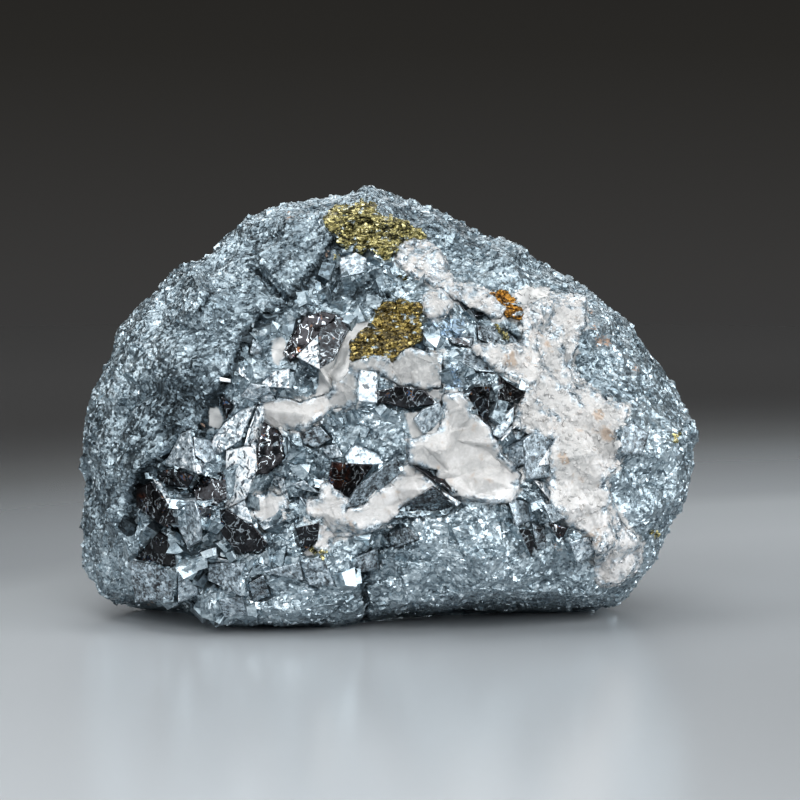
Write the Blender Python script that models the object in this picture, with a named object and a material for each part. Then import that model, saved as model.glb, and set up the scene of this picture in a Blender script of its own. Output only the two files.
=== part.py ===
"""Skutterudite specimen: a domed stone of massive ore with calcite and chalcopyrite set in its broken front.

The front of the stone faces -Y, +Z is up, and the origin is at the middle of the base. Lengths are in millimetres
until each finished mesh is scaled to metres.
"""
import math
import random

import bmesh
import bpy
from mathutils import Matrix, Vector, noise
from mathutils.bvhtree import BVHTree
from mathutils.geometry import intersect_point_line

METRES_PER_MM = 0.001

# Overall form
FRONT_DEPTH = 27.5
BACK_DEPTH = 29.0
MIDDLE_HEIGHT = 26.0
FULLNESS = 2.35
LEAN_BACK = 0.09

# The outline of the stone seen from the front (x, z), clockwise from the left
RIM = (
    (-45.4, 23.8), (-44.7, 27.5), (-42.6, 35.7), (-39.0, 43.7), (-36.6, 46.7), (-32.2, 50.5), (-28.0, 53.4),
    (-23.7, 56.0), (-21.5, 58.2), (-19.0, 59.0), (-14.7, 59.9), (-8.1, 61.0), (-3.5, 62.3), (-0.7, 62.6),
    (1.4, 61.3), (5.7, 59.9), (10.0, 58.0), (14.9, 55.4), (19.9, 53.9), (22.1, 51.9), (26.1, 49.4),
    (32.3, 44.9), (38.1, 38.8), (42.7, 32.4), (45.2, 27.3), (45.0, 22.7), (43.5, 18.2), (41.6, 12.8),
    (37.2, 5.4), (33.0, 0.6), (28.0, -2.0), (14.0, -3.2), (0.0, -3.0), (-14.0, -3.2), (-31.0, -3.0),
    (-40.4, -0.6), (-43.2, 4.0), (-45.0, 8.6), (-45.6, 12.9), (-44.4, 18.0),
)

# Where the front of the base meets the ground (x, y); ahead of it the underside rises
FOOT_LINE = (
    (-45.0, 6.0), (-38.0, 3.0), (-30.0, 0.0), (-27.0, -6.0), (-24.0, -13.0), (-8.0, -14.0), (-4.0, -9.0),
    (4.0, -4.0), (14.0, -1.0), (33.0, 1.0), (45.0, 6.0),
)
UNDERSIDE_SLOPE = 0.3

# Relief: (wavelength, height) of the round lumps, (size, step, slope) of the flat-faced blocks of the broken ore,
# and how much of the blocks is kept along the outline, whose own lumps are measured
LUMPS = ((15.0, 2.4), (6.5, 1.2))
BLOCKS = ((8.5, 1.1, 0.26), (4.6, 0.6, 0.34))
BLOCK_EDGE = 0.16
BLOCK_JOINT = 0.4
RIM_SHARE = 0.6
RIM_BAND = 0.45
LEVEL_KEY = 7.3
TILT_KEY = 5.1
CHIP_COUNT = 16
CHIP_DEPTH = (0.86, 0.95)
CHIP_SEED = 11
MASS_TRIANGLES = 4400

# Places on the front are given as seen from the front, (x, height) in a plane through the origin that the line of
# sight crosses squarely
SIGHT_DISTANCE = 600.0
SIGHT_ELEVATION = math.radians(6.0)
SIGHT_HEIGHT = 31.0
SIGHT_AXIS = Vector((0.0, math.cos(SIGHT_ELEVATION), -math.sin(SIGHT_ELEVATION)))
SIGHT_UP = Vector((0.0, math.sin(SIGHT_ELEVATION), math.cos(SIGHT_ELEVATION)))
EYE = SIGHT_UP * SIGHT_HEIGHT - SIGHT_AXIS * SIGHT_DISTANCE

# The broken window in the front: the line of the ledge that bounds it, and the ledge's depth
LEDGE = (
    (-6.4, 57.2), (-8.6, 53.2), (-11.9, 49.1), (-15.6, 45.4), (-19.3, 42.9), (-21.5, 40.2), (-22.5, 35.8),
    (-25.6, 31.3), (-27.9, 25.4), (-31.6, 23.2), (-35.2, 21.0), (-37.0, 18.5), (-37.5, 12.1),
)
WINDOW = LEDGE + ((-36.0, 2.0), (30.0, 2.0), (33.0, 30.0), (28.0, 45.0), (10.0, 57.0))
FRONT_EDGE = 0.1
FRONT_BLEND = 0.2
LEDGE_DEPTH = 3.2
LEDGE_RUN = 1.0
LEDGE_FADE = 26.0

# Cracks and grooves (points of the line, width, depth), and pits (place, width, depth)
GROOVES = (
    (((-19.9, 50.8), (-15.9, 46.7)), 1.2, 1.6),
    (((-25.3, 48.3), (-27.9, 44.5)), 0.9, 1.0),
    (((-3.3, 6.0), (-3.3, -1.0)), 1.6, 2.4),
    (((-2.4, 8.3), (1.1, 10.5)), 1.5, 1.8),
    (((-29.0, 6.0), (-28.4, -1.0)), 1.8, 2.2),
    (((8.5, 48.0), (15.0, 43.8)), 1.2, 1.2),
)
PITS = (
    ((-39.2, 33.1), 1.5, 1.5), ((-41.0, 29.4), 1.4, 1.4), ((-36.7, 11.8), 1.6, 1.5), ((-39.7, 10.2), 1.2, 1.2),
    ((36.6, 21.1), 1.6, 1.6), ((34.5, 17.7), 1.3, 1.3),
)
BUMPS = (
    ((-26.5, 46.6), 3.2, 1.0), ((-6.9, 3.8), 3.4, 1.6), ((-17.0, 2.5), 4.5, 1.2), ((5.0, 9.0), 5.0, 0.9),
    ((16.0, 7.0), 5.0, 0.8), ((36.4, 25.4), 2.6, 0.7), ((-23.5, 1.5), 3.6, 1.3),
)

# Crystals with flat faces: outline as seen from the front, how far the middle of the face stands proud, how far
# it is turned to the right and how far it faces up, in degrees
CRYSTALS = (
    (((-26.5, 23.9), (-25.6, 26.0), (-24.2, 27.8), (-21.9, 29.6), (-19.7, 30.4), (-21.8, 25.4), (-25.5, 23.0)),
     2.0, -8, 12),
    (((-19.3, 30.3), (-18.4, 30.4), (-18.3, 27.8), (-18.7, 24.2), (-21.2, 24.8), (-20.5, 27.2)), 2.2, 6, 10),
    (((-23.9, 23.8), (-19.6, 24.6), (-19.3, 21.0), (-21.1, 16.7), (-24.1, 15.2)), 2.4, -10, 2),
    (((-18.3, 28.1), (-14.7, 26.0), (-14.7, 22.8), (-17.8, 20.3), (-19.6, 20.4), (-19.3, 24.1)), 1.6, 22, 4),
    (((-13.5, 37.7), (-10.4, 40.9), (-10.1, 35.9)), 1.8, -4, 16),
    (((-18.7, 33.8), (-16.6, 35.6), (-14.7, 35.8), (-14.6, 33.1), (-17.8, 33.3)), 1.4, -12, 14),
    (((-7.3, 52.2), (-4.8, 53.1), (-3.2, 52.2), (-3.6, 50.2), (-6.9, 49.4)), 1.2, 0, 6),
    (((-4.3, 31.2), (-4.2, 35.8), (-1.6, 35.5), (-1.6, 30.9)), 1.4, 8, 10),
    (((-12.6, 43.5), (-9.7, 44.4), (-7.4, 43.9), (-10.6, 40.6), (-14.4, 36.8), (-15.5, 38.3)), 0.9, 14, -6),
    (((-10.4, 41.0), (-7.4, 43.9), (-5.4, 42.4), (-8.0, 37.2), (-10.0, 36.0)), 1.1, 20, 8),
    (((-28.9, 18.0), (-27.4, 20.1), (-24.1, 20.8), (-23.8, 16.7), (-25.5, 15.8), (-28.3, 15.8)), 1.5, -14, -10),
    (((-34.4, 20.7), (-31.6, 21.2), (-28.6, 20.2), (-29.5, 18.3), (-33.4, 18.6)), 1.2, -6, -12),
    (((-37.2, 18.3), (-34.9, 19.2), (-32.6, 16.1), (-31.1, 15.8), (-31.1, 12.6), (-33.3, 12.7), (-37.2, 15.6)),
     1.1, -18, 6),
    (((-25.9, 15.1), (-23.7, 15.1), (-20.0, 12.9), (-17.8, 10.2), (-18.7, 9.0), (-22.1, 8.6), (-24.5, 11.4)),
     1.3, 10, 8),
    (((-37.5, 7.8), (-33.8, 11.9), (-32.1, 10.9), (-31.3, 6.6)), 1.6, -10, 10),
    (((-13.7, 12.4), (-10.1, 13.2), (-10.4, 10.5), (-12.5, 8.8)), 1.3, 8, -8),
    (((-8.3, 22.2), (-2.2, 21.7), (-3.5, 19.8), (-6.1, 16.6), (-8.1, 17.9), (-8.8, 19.8)), 0.7, -8, 10),
    (((-1.9, 32.6), (1.4, 33.3), (5.0, 33.0), (7.5, 30.7), (2.6, 30.1), (-1.6, 31.1)), 1.4, 4, -14),
    (((10.9, 31.7), (12.8, 33.3), (15.1, 33.3), (14.8, 27.9), (11.7, 30.2)), 1.4, -16, 4),
    (((16.4, 35.1), (17.8, 33.9), (20.7, 32.2), (18.4, 31.1), (16.2, 30.1)), 1.5, 18, 6),
    (((3.6, 21.6), (7.5, 21.3), (9.9, 17.4), (6.0, 19.9)), 1.5, -10, -10),
    (((6.6, 18.4), (10.5, 15.8), (8.6, 14.4), (0.0, 13.7), (2.6, 16.1)), 1.2, 6, -12),
    (((19.4, 12.2), (20.9, 12.2), (21.7, 10.3), (21.2, 8.2)), 1.2, 14, -4),
    (((23.4, 13.4), (26.6, 12.4), (25.5, 10.3)), 1.2, -8, 10),
    (((-32.9, 22.0), (-31.8, 24.1), (-30.8, 26.1), (-29.2, 26.8), (-28.0, 20.6)), 1.7, -4, 12),
    (((-21.6, 31.9), (-20.2, 33.7), (-17.8, 33.4), (-16.6, 31.3), (-19.0, 30.7)), 1.6, 6, 10),
    (((-38.4, 7.6), (-33.8, 6.7), (-31.3, 5.8), (-32.0, 1.9), (-37.2, 1.6)), 1.4, -10, 0),
    (((-31.0, 6.4), (-28.2, 3.5), (-28.2, 2.5), (-31.0, 1.3)), 1.8, 16, 12),
    (((-26.7, 7.2), (-21.1, 7.2), (-22.0, 4.7), (-21.6, 2.3), (-26.6, 4.7)), 1.6, -6, 12),
    (((-18.6, 5.9), (-13.1, 7.4), (-12.6, 4.7)), 1.5, 4, 14),
    (((-13.0, 7.5), (-9.5, 8.0), (-7.9, 3.8), (-11.8, 4.0)), 1.4, 12, 6),
    (((-23.6, 15.2), (-21.2, 16.5), (-20.0, 13.1), (-21.9, 13.9)), 1.9, 10, 10),
    (((-19.2, 13.2), (-16.2, 14.5), (-15.2, 13.6), (-18.3, 12.1)), 1.6, -10, 12),
    (((3.9, 28.5), (5.2, 29.9), (7.6, 30.8), (8.5, 28.5), (7.6, 26.6), (5.2, 26.3)), 1.5, -8, 8),
    (((15.5, 26.2), (16.6, 28.7), (18.6, 30.3), (18.5, 28.2), (16.6, 25.7)), 1.5, -14, 10),
    (((20.8, 24.4), (21.1, 25.3), (24.9, 25.9), (24.2, 20.1), (20.6, 19.6)), 1.3, 6, 8),
    (((23.0, 15.8), (26.1, 16.2), (27.1, 14.3), (24.2, 13.1)), 1.5, 8, 12),
    (((26.8, 10.3), (29.5, 11.1), (30.9, 8.9), (28.0, 7.2)), 1.4, -10, 10),
    (((-6.3, 15.4), (-4.7, 18.2), (-2.0, 20.4), (1.0, 22.7), (2.6, 21.0), (-1.3, 17.8), (-3.9, 15.9)), 1.6, -4, 8),
    (((-9.8, 15.0), (-8.6, 18.6), (-7.3, 16.8), (-7.6, 14.4)), 1.4, 12, 10),
    (((-16.6, 21.2), (-12.6, 21.6), (-11.6, 18.6), (-14.2, 17.0), (-17.0, 18.4)), 1.2, -12, 8),
    (((2.0, 6.2), (6.8, 7.0), (7.4, 3.4), (3.2, 2.6)), 1.1, 6, 6),
    (((9.6, 12.4), (13.4, 13.2), (14.8, 9.8), (11.0, 8.6)), 1.0, -8, 12),
    (((13.0, 7.8), (17.8, 8.6), (18.4, 5.0), (14.2, 4.4)), 1.1, 8, 4),
    (((16.6, 15.8), (20.6, 15.4), (20.0, 12.8), (16.4, 13.2)), 1.2, -6, 14),
    (((33.6, 26.8), (36.0, 28.0), (38.6, 26.4), (37.6, 23.4), (34.4, 23.2)), 0.9, 10, 4),
)
CRYSTAL_ROOT = 6.0
CRYSTAL_SPREAD = 1.3
CRYSTAL_SAMPLE = 0.7

# Minerals set in the front: outline as seen from the front, height above the stone, and the wavelength and height
# of the relief of its surface. Each sits in a pocket with a gap all round.
GAP = 0.3
SHARPEST_CORNER = 0.4
POCKET_DEPTH = 6.0
POCKET_AHEAD = 10.0
POCKET_BEHIND = 3.0
SETTINGS = {
    "calcite_block_centre": (
        ((8.3, 31.6), (10.9, 32.2), (12.0, 29.6), (14.6, 27.6), (16.5, 23.1), (19.4, 20.2), (18.1, 16.4),
         (11.3, 17.1), (9.7, 17.7), (7.5, 19.5), (7.3, 21.0), (3.6, 22.5), (3.5, 25.1), (7.6, 26.5), (8.6, 28.5)),
        1.3, 4.0, 0.8),
    "calcite_band_lower": (
        ((2.6, 21.1), (4.1, 21.3), (6.7, 18.6), (5.1, 17.4), (2.7, 16.1), (0.1, 13.7), (-2.6, 12.3), (-7.6, 11.2),
         (-9.7, 9.3), (-10.6, 9.8), (-9.7, 13.9), (-11.5, 13.7), (-11.5, 16.3), (-9.7, 16.4), (-9.5, 18.6),
         (-8.5, 19.1), (-7.6, 17.1), (-6.1, 16.1), (-6.3, 14.9), (-3.8, 15.1), (-1.1, 17.9), (0.5, 19.1)),
        0.9, 3.0, 0.7),
    "calcite_vein_right": (
        ((24.0, 46.4), (28.7, 46.1), (28.7, 42.4), (27.4, 40.8), (26.7, 36.4), (27.7, 34.3), (32.3, 30.7),
         (35.1, 30.0), (33.9, 25.9), (33.9, 22.0), (31.8, 19.9), (31.6, 18.8), (32.6, 16.3), (35.4, 11.7),
         (37.0, 9.9), (36.7, 7.1), (33.3, 4.3), (31.6, 4.4), (30.7, 6.2), (31.1, 8.6), (30.7, 11.1),
         (27.0, 13.3), (24.3, 16.6), (24.2, 20.8), (24.9, 25.7), (20.9, 26.9), (18.7, 27.6), (20.5, 32.2),
         (21.4, 33.7), (16.0, 36.1), (12.9, 39.0), (20.3, 39.0), (20.2, 44.3)),
        0.9, 3.5, 0.9),
    "calcite_patch_left": (
        ((-18.7, 31.3), (-16.8, 31.9), (-13.1, 30.7), (-8.6, 32.1), (-5.7, 35.5), (-4.6, 37.0), (-2.6, 37.4),
         (0.8, 37.4), (3.0, 38.4), (7.6, 38.0), (7.6, 33.4), (1.4, 33.9), (-1.4, 36.0), (-4.6, 36.0), (-4.8, 31.0),
         (-8.6, 30.1), (-10.4, 28.7), (-13.1, 27.2), (-17.8, 26.9)),
        0.5, 4.0, 0.5),
    "calcite_patch_small": (
        ((-19.6, 17.0), (-17.5, 17.6), (-15.4, 16.6), (-16.0, 13.9), (-18.1, 12.9), (-19.6, 14.3)),
        0.8, 3.0, 0.4),
    "chalcopyrite_top": (
        ((-9.2, 57.9), (-7.5, 59.4), (-2.4, 59.8), (-1.7, 58.1), (1.7, 57.3), (5.2, 55.4), (2.9, 55.0),
         (-0.2, 52.8), (-1.8, 53.2), (-2.7, 54.4), (-4.1, 53.5), (-7.2, 54.7), (-8.6, 56.5)),
        0.7, 2.4, 0.6),
    "calcite_patch_top": (
        ((1.3, 53.3), (3.0, 54.8), (5.4, 54.5), (7.3, 52.8), (9.4, 48.2), (13.5, 47.3), (17.2, 44.8),
         (16.5, 43.6), (12.0, 45.4), (6.3, 48.8), (4.1, 49.7), (2.1, 51.3)),
        0.9, 3.0, 0.5),
    "calcite_knob": (
        ((5.5, 45.4), (6.3, 46.9), (8.1, 46.9), (8.9, 45.4), (8.1, 43.9), (6.3, 43.9)),
        1.4, 4.0, 0.3),
    "chalcopyrite_middle": (
        ((-5.2, 37.5), (-5.0, 39.6), (-2.6, 41.7), (-1.4, 43.6), (-1.4, 44.9), (1.7, 45.8), (4.5, 44.9),
         (4.2, 42.4), (4.7, 40.5), (3.0, 39.5), (0.8, 37.8), (-2.3, 37.8)),
        0.7, 2.4, 0.6),
    "chalcopyrite_bronze": (
        ((14.3, 46.4), (17.1, 46.9), (18.4, 45.7), (19.8, 43.4), (17.5, 44.0), (15.3, 45.4)),
        0.7, 2.4, 0.4),
}
SETTING_TRIANGLES = 4200
RELIEF_SHIFT = 31.0
GROUND_SIZE = 200.0

# Colour, metallic value and roughness of each mineral
MINERALS = {
    "skutterudite": ((0.27, 0.33, 0.38), 0.9, 0.42),
    "calcite": ((0.80, 0.74, 0.70), 0.0, 0.55),
    "chalcopyrite": ((0.50, 0.40, 0.10), 0.9, 0.38),
}


def clear_scene():
    for obj in list(bpy.data.objects):
        bpy.data.objects.remove(obj)


def make_collection(name):
    collection = bpy.data.collections.new(name)
    bpy.context.scene.collection.children.link(collection)
    return collection


def interpolate(points, x):
    """The height at x of a line through points that are sorted by x."""
    if x <= points[0][0]:
        return points[0][1]
    for (x0, y0), (x1, y1) in zip(points, points[1:]):
        if x <= x1:
            return y0 + (y1 - y0) * (x - x0) / (x1 - x0)
    return points[-1][1]


def rim_table():
    """The outline as (angle, radius) about its middle, sorted and closed over a full turn."""
    polar = sorted((math.atan2(z - MIDDLE_HEIGHT, x), math.hypot(x, z - MIDDLE_HEIGHT)) for x, z in RIM)
    last = (polar[-1][0] - 2 * math.pi, polar[-1][1])
    first = (polar[0][0] + 2 * math.pi, polar[0][1])
    return [last] + polar + [first]


def sight_ray(x, height):
    """The direction of the line of sight through a place of the sight plane."""
    return (Vector((x, 0.0, 0.0)) + SIGHT_UP * height - EYE).normalized()


def sight_place(point):
    """Where a point of the stone is seen in the sight plane, as (x, height)."""
    line = point - EYE
    seen = EYE + line * (SIGHT_DISTANCE / line.dot(SIGHT_AXIS))
    return Vector((seen.x, seen.dot(SIGHT_UP)))


def distance_to_line(place, line):
    """The shortest distance in the sight plane from a place to a line of points."""
    nearest = math.inf
    for start, end in zip(line, line[1:]):
        foot, share = intersect_point_line(place, Vector(start), Vector(end))
        if share < 0:
            foot = Vector(start)
        if share > 1:
            foot = Vector(end)
        nearest = min(nearest, (place - Vector(foot[:2])).length)
    return nearest


def inside(place, outline):
    """Whether a place in the sight plane is inside a closed outline."""
    crossings = 0
    for (x0, y0), (x1, y1) in zip(outline, outline[1:] + outline[:1]):
        if (y0 > place.y) != (y1 > place.y) and place.x < x0 + (x1 - x0) * (place.y - y0) / (y1 - y0):
            crossings += 1
    return crossings % 2 == 1


def smooth_step(value):
    value = min(max(value, 0.0), 1.0)
    return value * value * (3.0 - 2.0 * value)


def front_relief(place):
    """How far the front stands out at a place in the sight plane: ledge, grooves, pits and bumps."""
    height = 0.0
    if inside(place, WINDOW):
        away = distance_to_line(place, LEDGE)
        height -= LEDGE_DEPTH * smooth_step(away / LEDGE_RUN) * math.exp(-away / LEDGE_FADE)
    for line, width, depth in GROOVES:
        height -= depth * math.exp(-(distance_to_line(place, line) / width) ** 2)
    for centre, width, depth in PITS:
        height -= depth * math.exp(-((place - Vector(centre)).length / width) ** 2)
    for centre, width, rise in BUMPS:
        height += rise * math.exp(-((place - Vector(centre)).length / width) ** 2)
    return height


def smooth_point(direction, rim):
    """The point of the smooth form in a direction: the outline, drawn in towards the front and the back."""
    flat = math.hypot(direction.x, direction.z)
    size = (flat ** FULLNESS + abs(direction.y) ** FULLNESS) ** (-1.0 / FULLNESS)
    radius = interpolate(rim, math.atan2(direction.z, direction.x)) * flat * size
    depth = FRONT_DEPTH if direction.y < 0 else BACK_DEPTH
    across = Vector((direction.x, direction.z)).normalized() * radius if flat > 0 else Vector((0.0, 0.0))
    lean = LEAN_BACK * across.y
    return Vector((across.x, direction.y * size * depth + lean, across.y + MIDDLE_HEIGHT))


def off_rim(direction):
    """0 along the measured outline, rising to 1 at the front and the back."""
    return smooth_step(abs(direction.y) / RIM_BAND)


def chips():
    """Planes that cut flat breaks into the sides and the back: direction, and share of the form that is kept."""
    draw = random.Random(CHIP_SEED)
    planes = []
    for _ in range(CHIP_COUNT):
        normal = Vector((draw.uniform(-1, 1), draw.uniform(0.4, 1), draw.uniform(-0.5, 1))).normalized()
        planes.append((normal, draw.uniform(*CHIP_DEPTH)))
    return planes


def block_relief(point, size, step, slope):
    """The height of flat faces: the nearest cell's own level and its own tilt, sunk between the cells."""
    distances, cells = noise.voronoi(point / size)
    level = noise.cell(cells[0] * LEVEL_KEY) - 0.5
    tilt = noise.cell_vector(cells[0] * TILT_KEY) - Vector((0.5, 0.5, 0.5))
    edge = smooth_step((distances[1] - distances[0]) / BLOCK_EDGE)
    return (step * level + slope * tilt.dot(point - cells[0] * size)) * edge - step * (1.0 - edge) * BLOCK_JOINT


def raise_underside(point):
    """Lifts what would reach too low ahead of the foot line."""
    ahead = interpolate(FOOT_LINE, point.x) - point.y
    if ahead > 0:
        point.z = max(point.z, ahead * UNDERSIDE_SLOPE)
    return point


def stone_form():
    """The stone without its crystals, as a bmesh, before its base is cut flat."""
    form = bmesh.new()
    bmesh.ops.create_icosphere(form, subdivisions=6, radius=1.0)
    rim = rim_table()
    planes = chips()
    middle = Vector((0.0, 0.0, MIDDLE_HEIGHT))
    for vertex in form.verts:
        direction = vertex.co.normalized()
        point = smooth_point(direction, rim)
        arm = point - middle
        for normal, share in planes:
            reach = (smooth_point(normal, rim) - middle).dot(normal) * share
            if arm.dot(normal) > reach:
                arm *= reach / arm.dot(normal)
        point = middle + arm
        away = off_rim(direction)
        rise = sum(height * noise.noise(point / length) for length, height in LUMPS) * away
        rise += sum(block_relief(point, *block) for block in BLOCKS) * (RIM_SHARE + (1.0 - RIM_SHARE) * away)
        if direction.y < FRONT_EDGE:
            rise += front_relief(sight_place(point)) * smooth_step((FRONT_EDGE - direction.y) / FRONT_BLEND)
        vertex.co = raise_underside(point + arm.normalized() * rise)
    bmesh.ops.recalc_face_normals(form, faces=form.faces[:])
    return form


def make_object(name, shape, collection):
    mesh = bpy.data.meshes.new(name)
    shape.to_mesh(mesh)
    shape.free()
    obj = bpy.data.objects.new(name, mesh)
    collection.objects.link(obj)
    return obj


def make_cutter(name, shape, cutters):
    cutter = make_object(name, shape, cutters)
    cutter.hide_render = True
    cutter.display_type = "WIRE"
    return cutter


def add_boolean(obj, operation, other):
    """Adds a Boolean with one object or with a whole collection of them."""
    boolean = obj.modifiers.new(other.name, "BOOLEAN")
    boolean.operation = operation
    boolean.solver = "EXACT"
    if isinstance(other, bpy.types.Collection):
        boolean.operand_type = "COLLECTION"
        boolean.collection = other
    else:
        boolean.object = other


def add_decimate(obj, triangles):
    decimate = obj.modifiers.new("fewer_faces", "DECIMATE")
    decimate.ratio = triangles / len(obj.data.polygons)


def islands(shape):
    """The connected pieces of a bmesh, each as a list of faces, the largest first."""
    left = set(shape.faces)
    found = []
    while left:
        grown = [left.pop()]
        for face in grown:
            for edge in face.edges:
                for other in edge.link_faces:
                    if other in left:
                        left.remove(other)
                        grown.append(other)
        found.append(grown)
    return sorted(found, key=len, reverse=True)


def finish(obj, mineral, collection):
    """Bakes the modifiers, drops loose crumbs, scales to metres and gives the node its material."""
    graph = bpy.context.evaluated_depsgraph_get()
    mesh = bpy.data.meshes.new_from_object(obj.evaluated_get(graph), depsgraph=graph)
    shape = bmesh.new()
    shape.from_mesh(mesh)
    for crumb in islands(shape)[1:]:
        bmesh.ops.delete(shape, geom=crumb, context="FACES")
    bmesh.ops.triangulate(shape, faces=shape.faces[:])
    shape.to_mesh(mesh)
    shape.free()
    mesh.transform(Matrix.Scale(METRES_PER_MM, 4))
    mesh.materials.clear()
    mesh.materials.append(mineral_material(mineral))
    name = obj.name
    bpy.data.objects.remove(obj)
    node = bpy.data.objects.new(name, mesh)
    collection.objects.link(node)


def mineral_material(name):
    material = bpy.data.materials.get(name)
    if material:
        return material
    colour, metallic, roughness = MINERALS[name]
    material = bpy.data.materials.new(name)
    material.use_nodes = True
    shader = material.node_tree.nodes["Principled BSDF"]
    shader.inputs["Base Color"].default_value = (*colour, 1.0)
    shader.inputs["Metallic"].default_value = metallic
    shader.inputs["Roughness"].default_value = roughness
    return material


def loft(front, back):
    """A closed solid between two rings of as many points."""
    shape = bmesh.new()
    near = [shape.verts.new(point) for point in front]
    far = [shape.verts.new(point) for point in back]
    count = len(near)
    for i in range(count):
        shape.faces.new((near[i], near[(i + 1) % count], far[(i + 1) % count], far[i]))
    shape.faces.new(near)
    shape.faces.new(far)
    bmesh.ops.triangulate(shape, faces=shape.faces[:])
    bmesh.ops.recalc_face_normals(shape, faces=shape.faces[:])
    return shape


def hit(tree, x, height):
    """Where the line of sight meets the stone, and the stone's face direction there."""
    place, normal, _, _ = tree.ray_cast(EYE, sight_ray(x, height))
    return place, normal


def crystal(outline, proud, turn, nod, tree, smooth_tree):
    """A block whose flat face is seen as the outline, and which widens into the stone."""
    count = len(outline)
    middle = Vector((sum(x for x, _ in outline) / count, sum(z for _, z in outline) / count))
    hits = [hit(tree, *(middle + (Vector(corner) - middle) * CRYSTAL_SAMPLE))[0] for corner in outline]
    centre = sum(hits, Vector()) / count
    normal = hit(smooth_tree, *middle)[1]
    lean = Matrix.Rotation(math.radians(turn), 3, "Z") @ Matrix.Rotation(-math.radians(nod), 3, "X")
    normal = (lean @ normal).normalized()
    face_point = centre + normal * proud
    front = []
    for corner in outline:
        sight = sight_ray(*corner)
        front.append(EYE + sight * ((face_point - EYE).dot(normal) / sight.dot(normal)))
    ring_middle = sum(front, Vector()) / count
    back = [ring_middle + (point - ring_middle) * CRYSTAL_SPREAD - normal * CRYSTAL_ROOT for point in front]
    return loft(front, back)


def grown_outline(outline, amount):
    """The outline with its sides moved outwards by an amount."""
    area = sum(x0 * y1 - x1 * y0 for (x0, y0), (x1, y1) in zip(outline, outline[1:] + outline[:1]))
    way = 1.0 if area > 0 else -1.0
    moved = []
    for i, corner in enumerate(outline):
        before = (Vector(corner) - Vector(outline[i - 1])).normalized()
        after = (Vector(outline[(i + 1) % len(outline)]) - Vector(corner)).normalized()
        side = Vector((before.y, -before.x))
        out = (side + Vector((after.y, -after.x))).normalized()
        reach = amount / max(out.dot(side), SHARPEST_CORNER)
        moved.append(tuple(Vector(corner) + out * reach * way))
    return tuple(moved)


def prism(outline, tree, shorter=0.0):
    """A prism along the lines of sight, from ahead of the stone to behind the hindmost corner of the outline."""
    rays = [sight_ray(*corner) for corner in outline]
    reaches = [(hit(tree, *corner)[0] - EYE).dot(SIGHT_AXIS) for corner in outline]
    near = min(reaches) - POCKET_AHEAD
    far = max(reaches) + POCKET_BEHIND - shorter
    front = [EYE + ray * (near / ray.dot(SIGHT_AXIS)) for ray in rays]
    back = [EYE + ray * (far / ray.dot(SIGHT_AXIS)) for ray in rays]
    return loft(front, back)


def core(depth):
    """The smooth form of the stone, shrunk by a depth: the floor under the set minerals."""
    shape = bmesh.new()
    bmesh.ops.create_icosphere(shape, subdivisions=4, radius=1.0)
    rim = rim_table()
    middle = Vector((0.0, 0.0, MIDDLE_HEIGHT))
    for vertex in shape.verts:
        arm = smooth_point(vertex.co.normalized(), rim) - middle
        vertex.co = middle + arm * (1.0 - depth / arm.length)
    return shape


def setting_form(form, rise, length, height, number):
    """The stone's form swollen by a rise and given a mineral's own relief."""
    swollen = form.copy()
    shift = Vector((number * RELIEF_SHIFT, 0.0, 0.0))
    for vertex in swollen.verts:
        relief = noise.cell(vertex.co / length + shift) * height
        relief += noise.noise(vertex.co / length + shift) * height
        vertex.co = vertex.co + vertex.normal * (rise + relief)
    return swollen


def ground():
    """The half space under the stone."""
    shape = bmesh.new()
    bmesh.ops.create_cube(shape, size=GROUND_SIZE)
    bmesh.ops.translate(shape, vec=Vector((0.0, 0.0, -GROUND_SIZE / 2)), verts=shape.verts[:])
    return shape


def centre_on_base(nodes):
    """Moves every node so that the origin is under the middle of the whole stone."""
    points = [vertex.co for node in nodes for vertex in node.data.vertices]
    middle_x = (min(point.x for point in points) + max(point.x for point in points)) / 2
    middle_y = (min(point.y for point in points) + max(point.y for point in points)) / 2
    for node in nodes:
        node.data.transform(Matrix.Translation((-middle_x, -middle_y, 0.0)))


def main():
    clear_scene()
    nodes = make_collection("skutterudite_specimen")
    cutters = make_collection("cutters")
    crystals = make_collection("crystals")
    pockets = make_collection("pockets")

    form = stone_form()
    form.normal_update()
    tree = BVHTree.FromBMesh(form)
    smooth_tree = BVHTree.FromBMesh(core(0.0))
    underground = make_cutter("ground", ground(), cutters)

    for number, values in enumerate(CRYSTALS):
        make_cutter(f"crystal_{number}", crystal(*values, tree, smooth_tree), crystals)

    pocket_floor = make_cutter("pocket_floor", core(POCKET_DEPTH), cutters)
    setting_floor = make_cutter("setting_floor", core(POCKET_DEPTH - GAP), cutters)
    earlier = []
    for number, (name, (outline, rise, length, height)) in enumerate(SETTINGS.items()):
        setting = make_object(name, setting_form(form, rise, length, height, number), nodes)
        add_decimate(setting, SETTING_TRIANGLES)
        add_boolean(setting, "INTERSECT", make_cutter(f"{name}_prism", prism(outline, tree, GAP), cutters))
        add_boolean(setting, "DIFFERENCE", setting_floor)
        for other in earlier:
            add_boolean(setting, "DIFFERENCE", other)
        pocket = make_cutter(f"{name}_pocket", prism(grown_outline(outline, GAP), tree), pockets)
        add_boolean(pocket, "DIFFERENCE", pocket_floor)
        earlier.append(pocket)

    mass = make_object("skutterudite_mass", form, nodes)
    add_decimate(mass, MASS_TRIANGLES)
    add_boolean(mass, "UNION", crystals)
    add_boolean(mass, "DIFFERENCE", pockets)
    add_boolean(mass, "DIFFERENCE", underground)

    finish(mass, "skutterudite", nodes)
    for name in SETTINGS:
        finish(bpy.data.objects[name], name.split("_")[0], nodes)
    centre_on_base(nodes.objects)


main()
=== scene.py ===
"""The looks of the skutterudite specimen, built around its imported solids."""
import math

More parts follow.
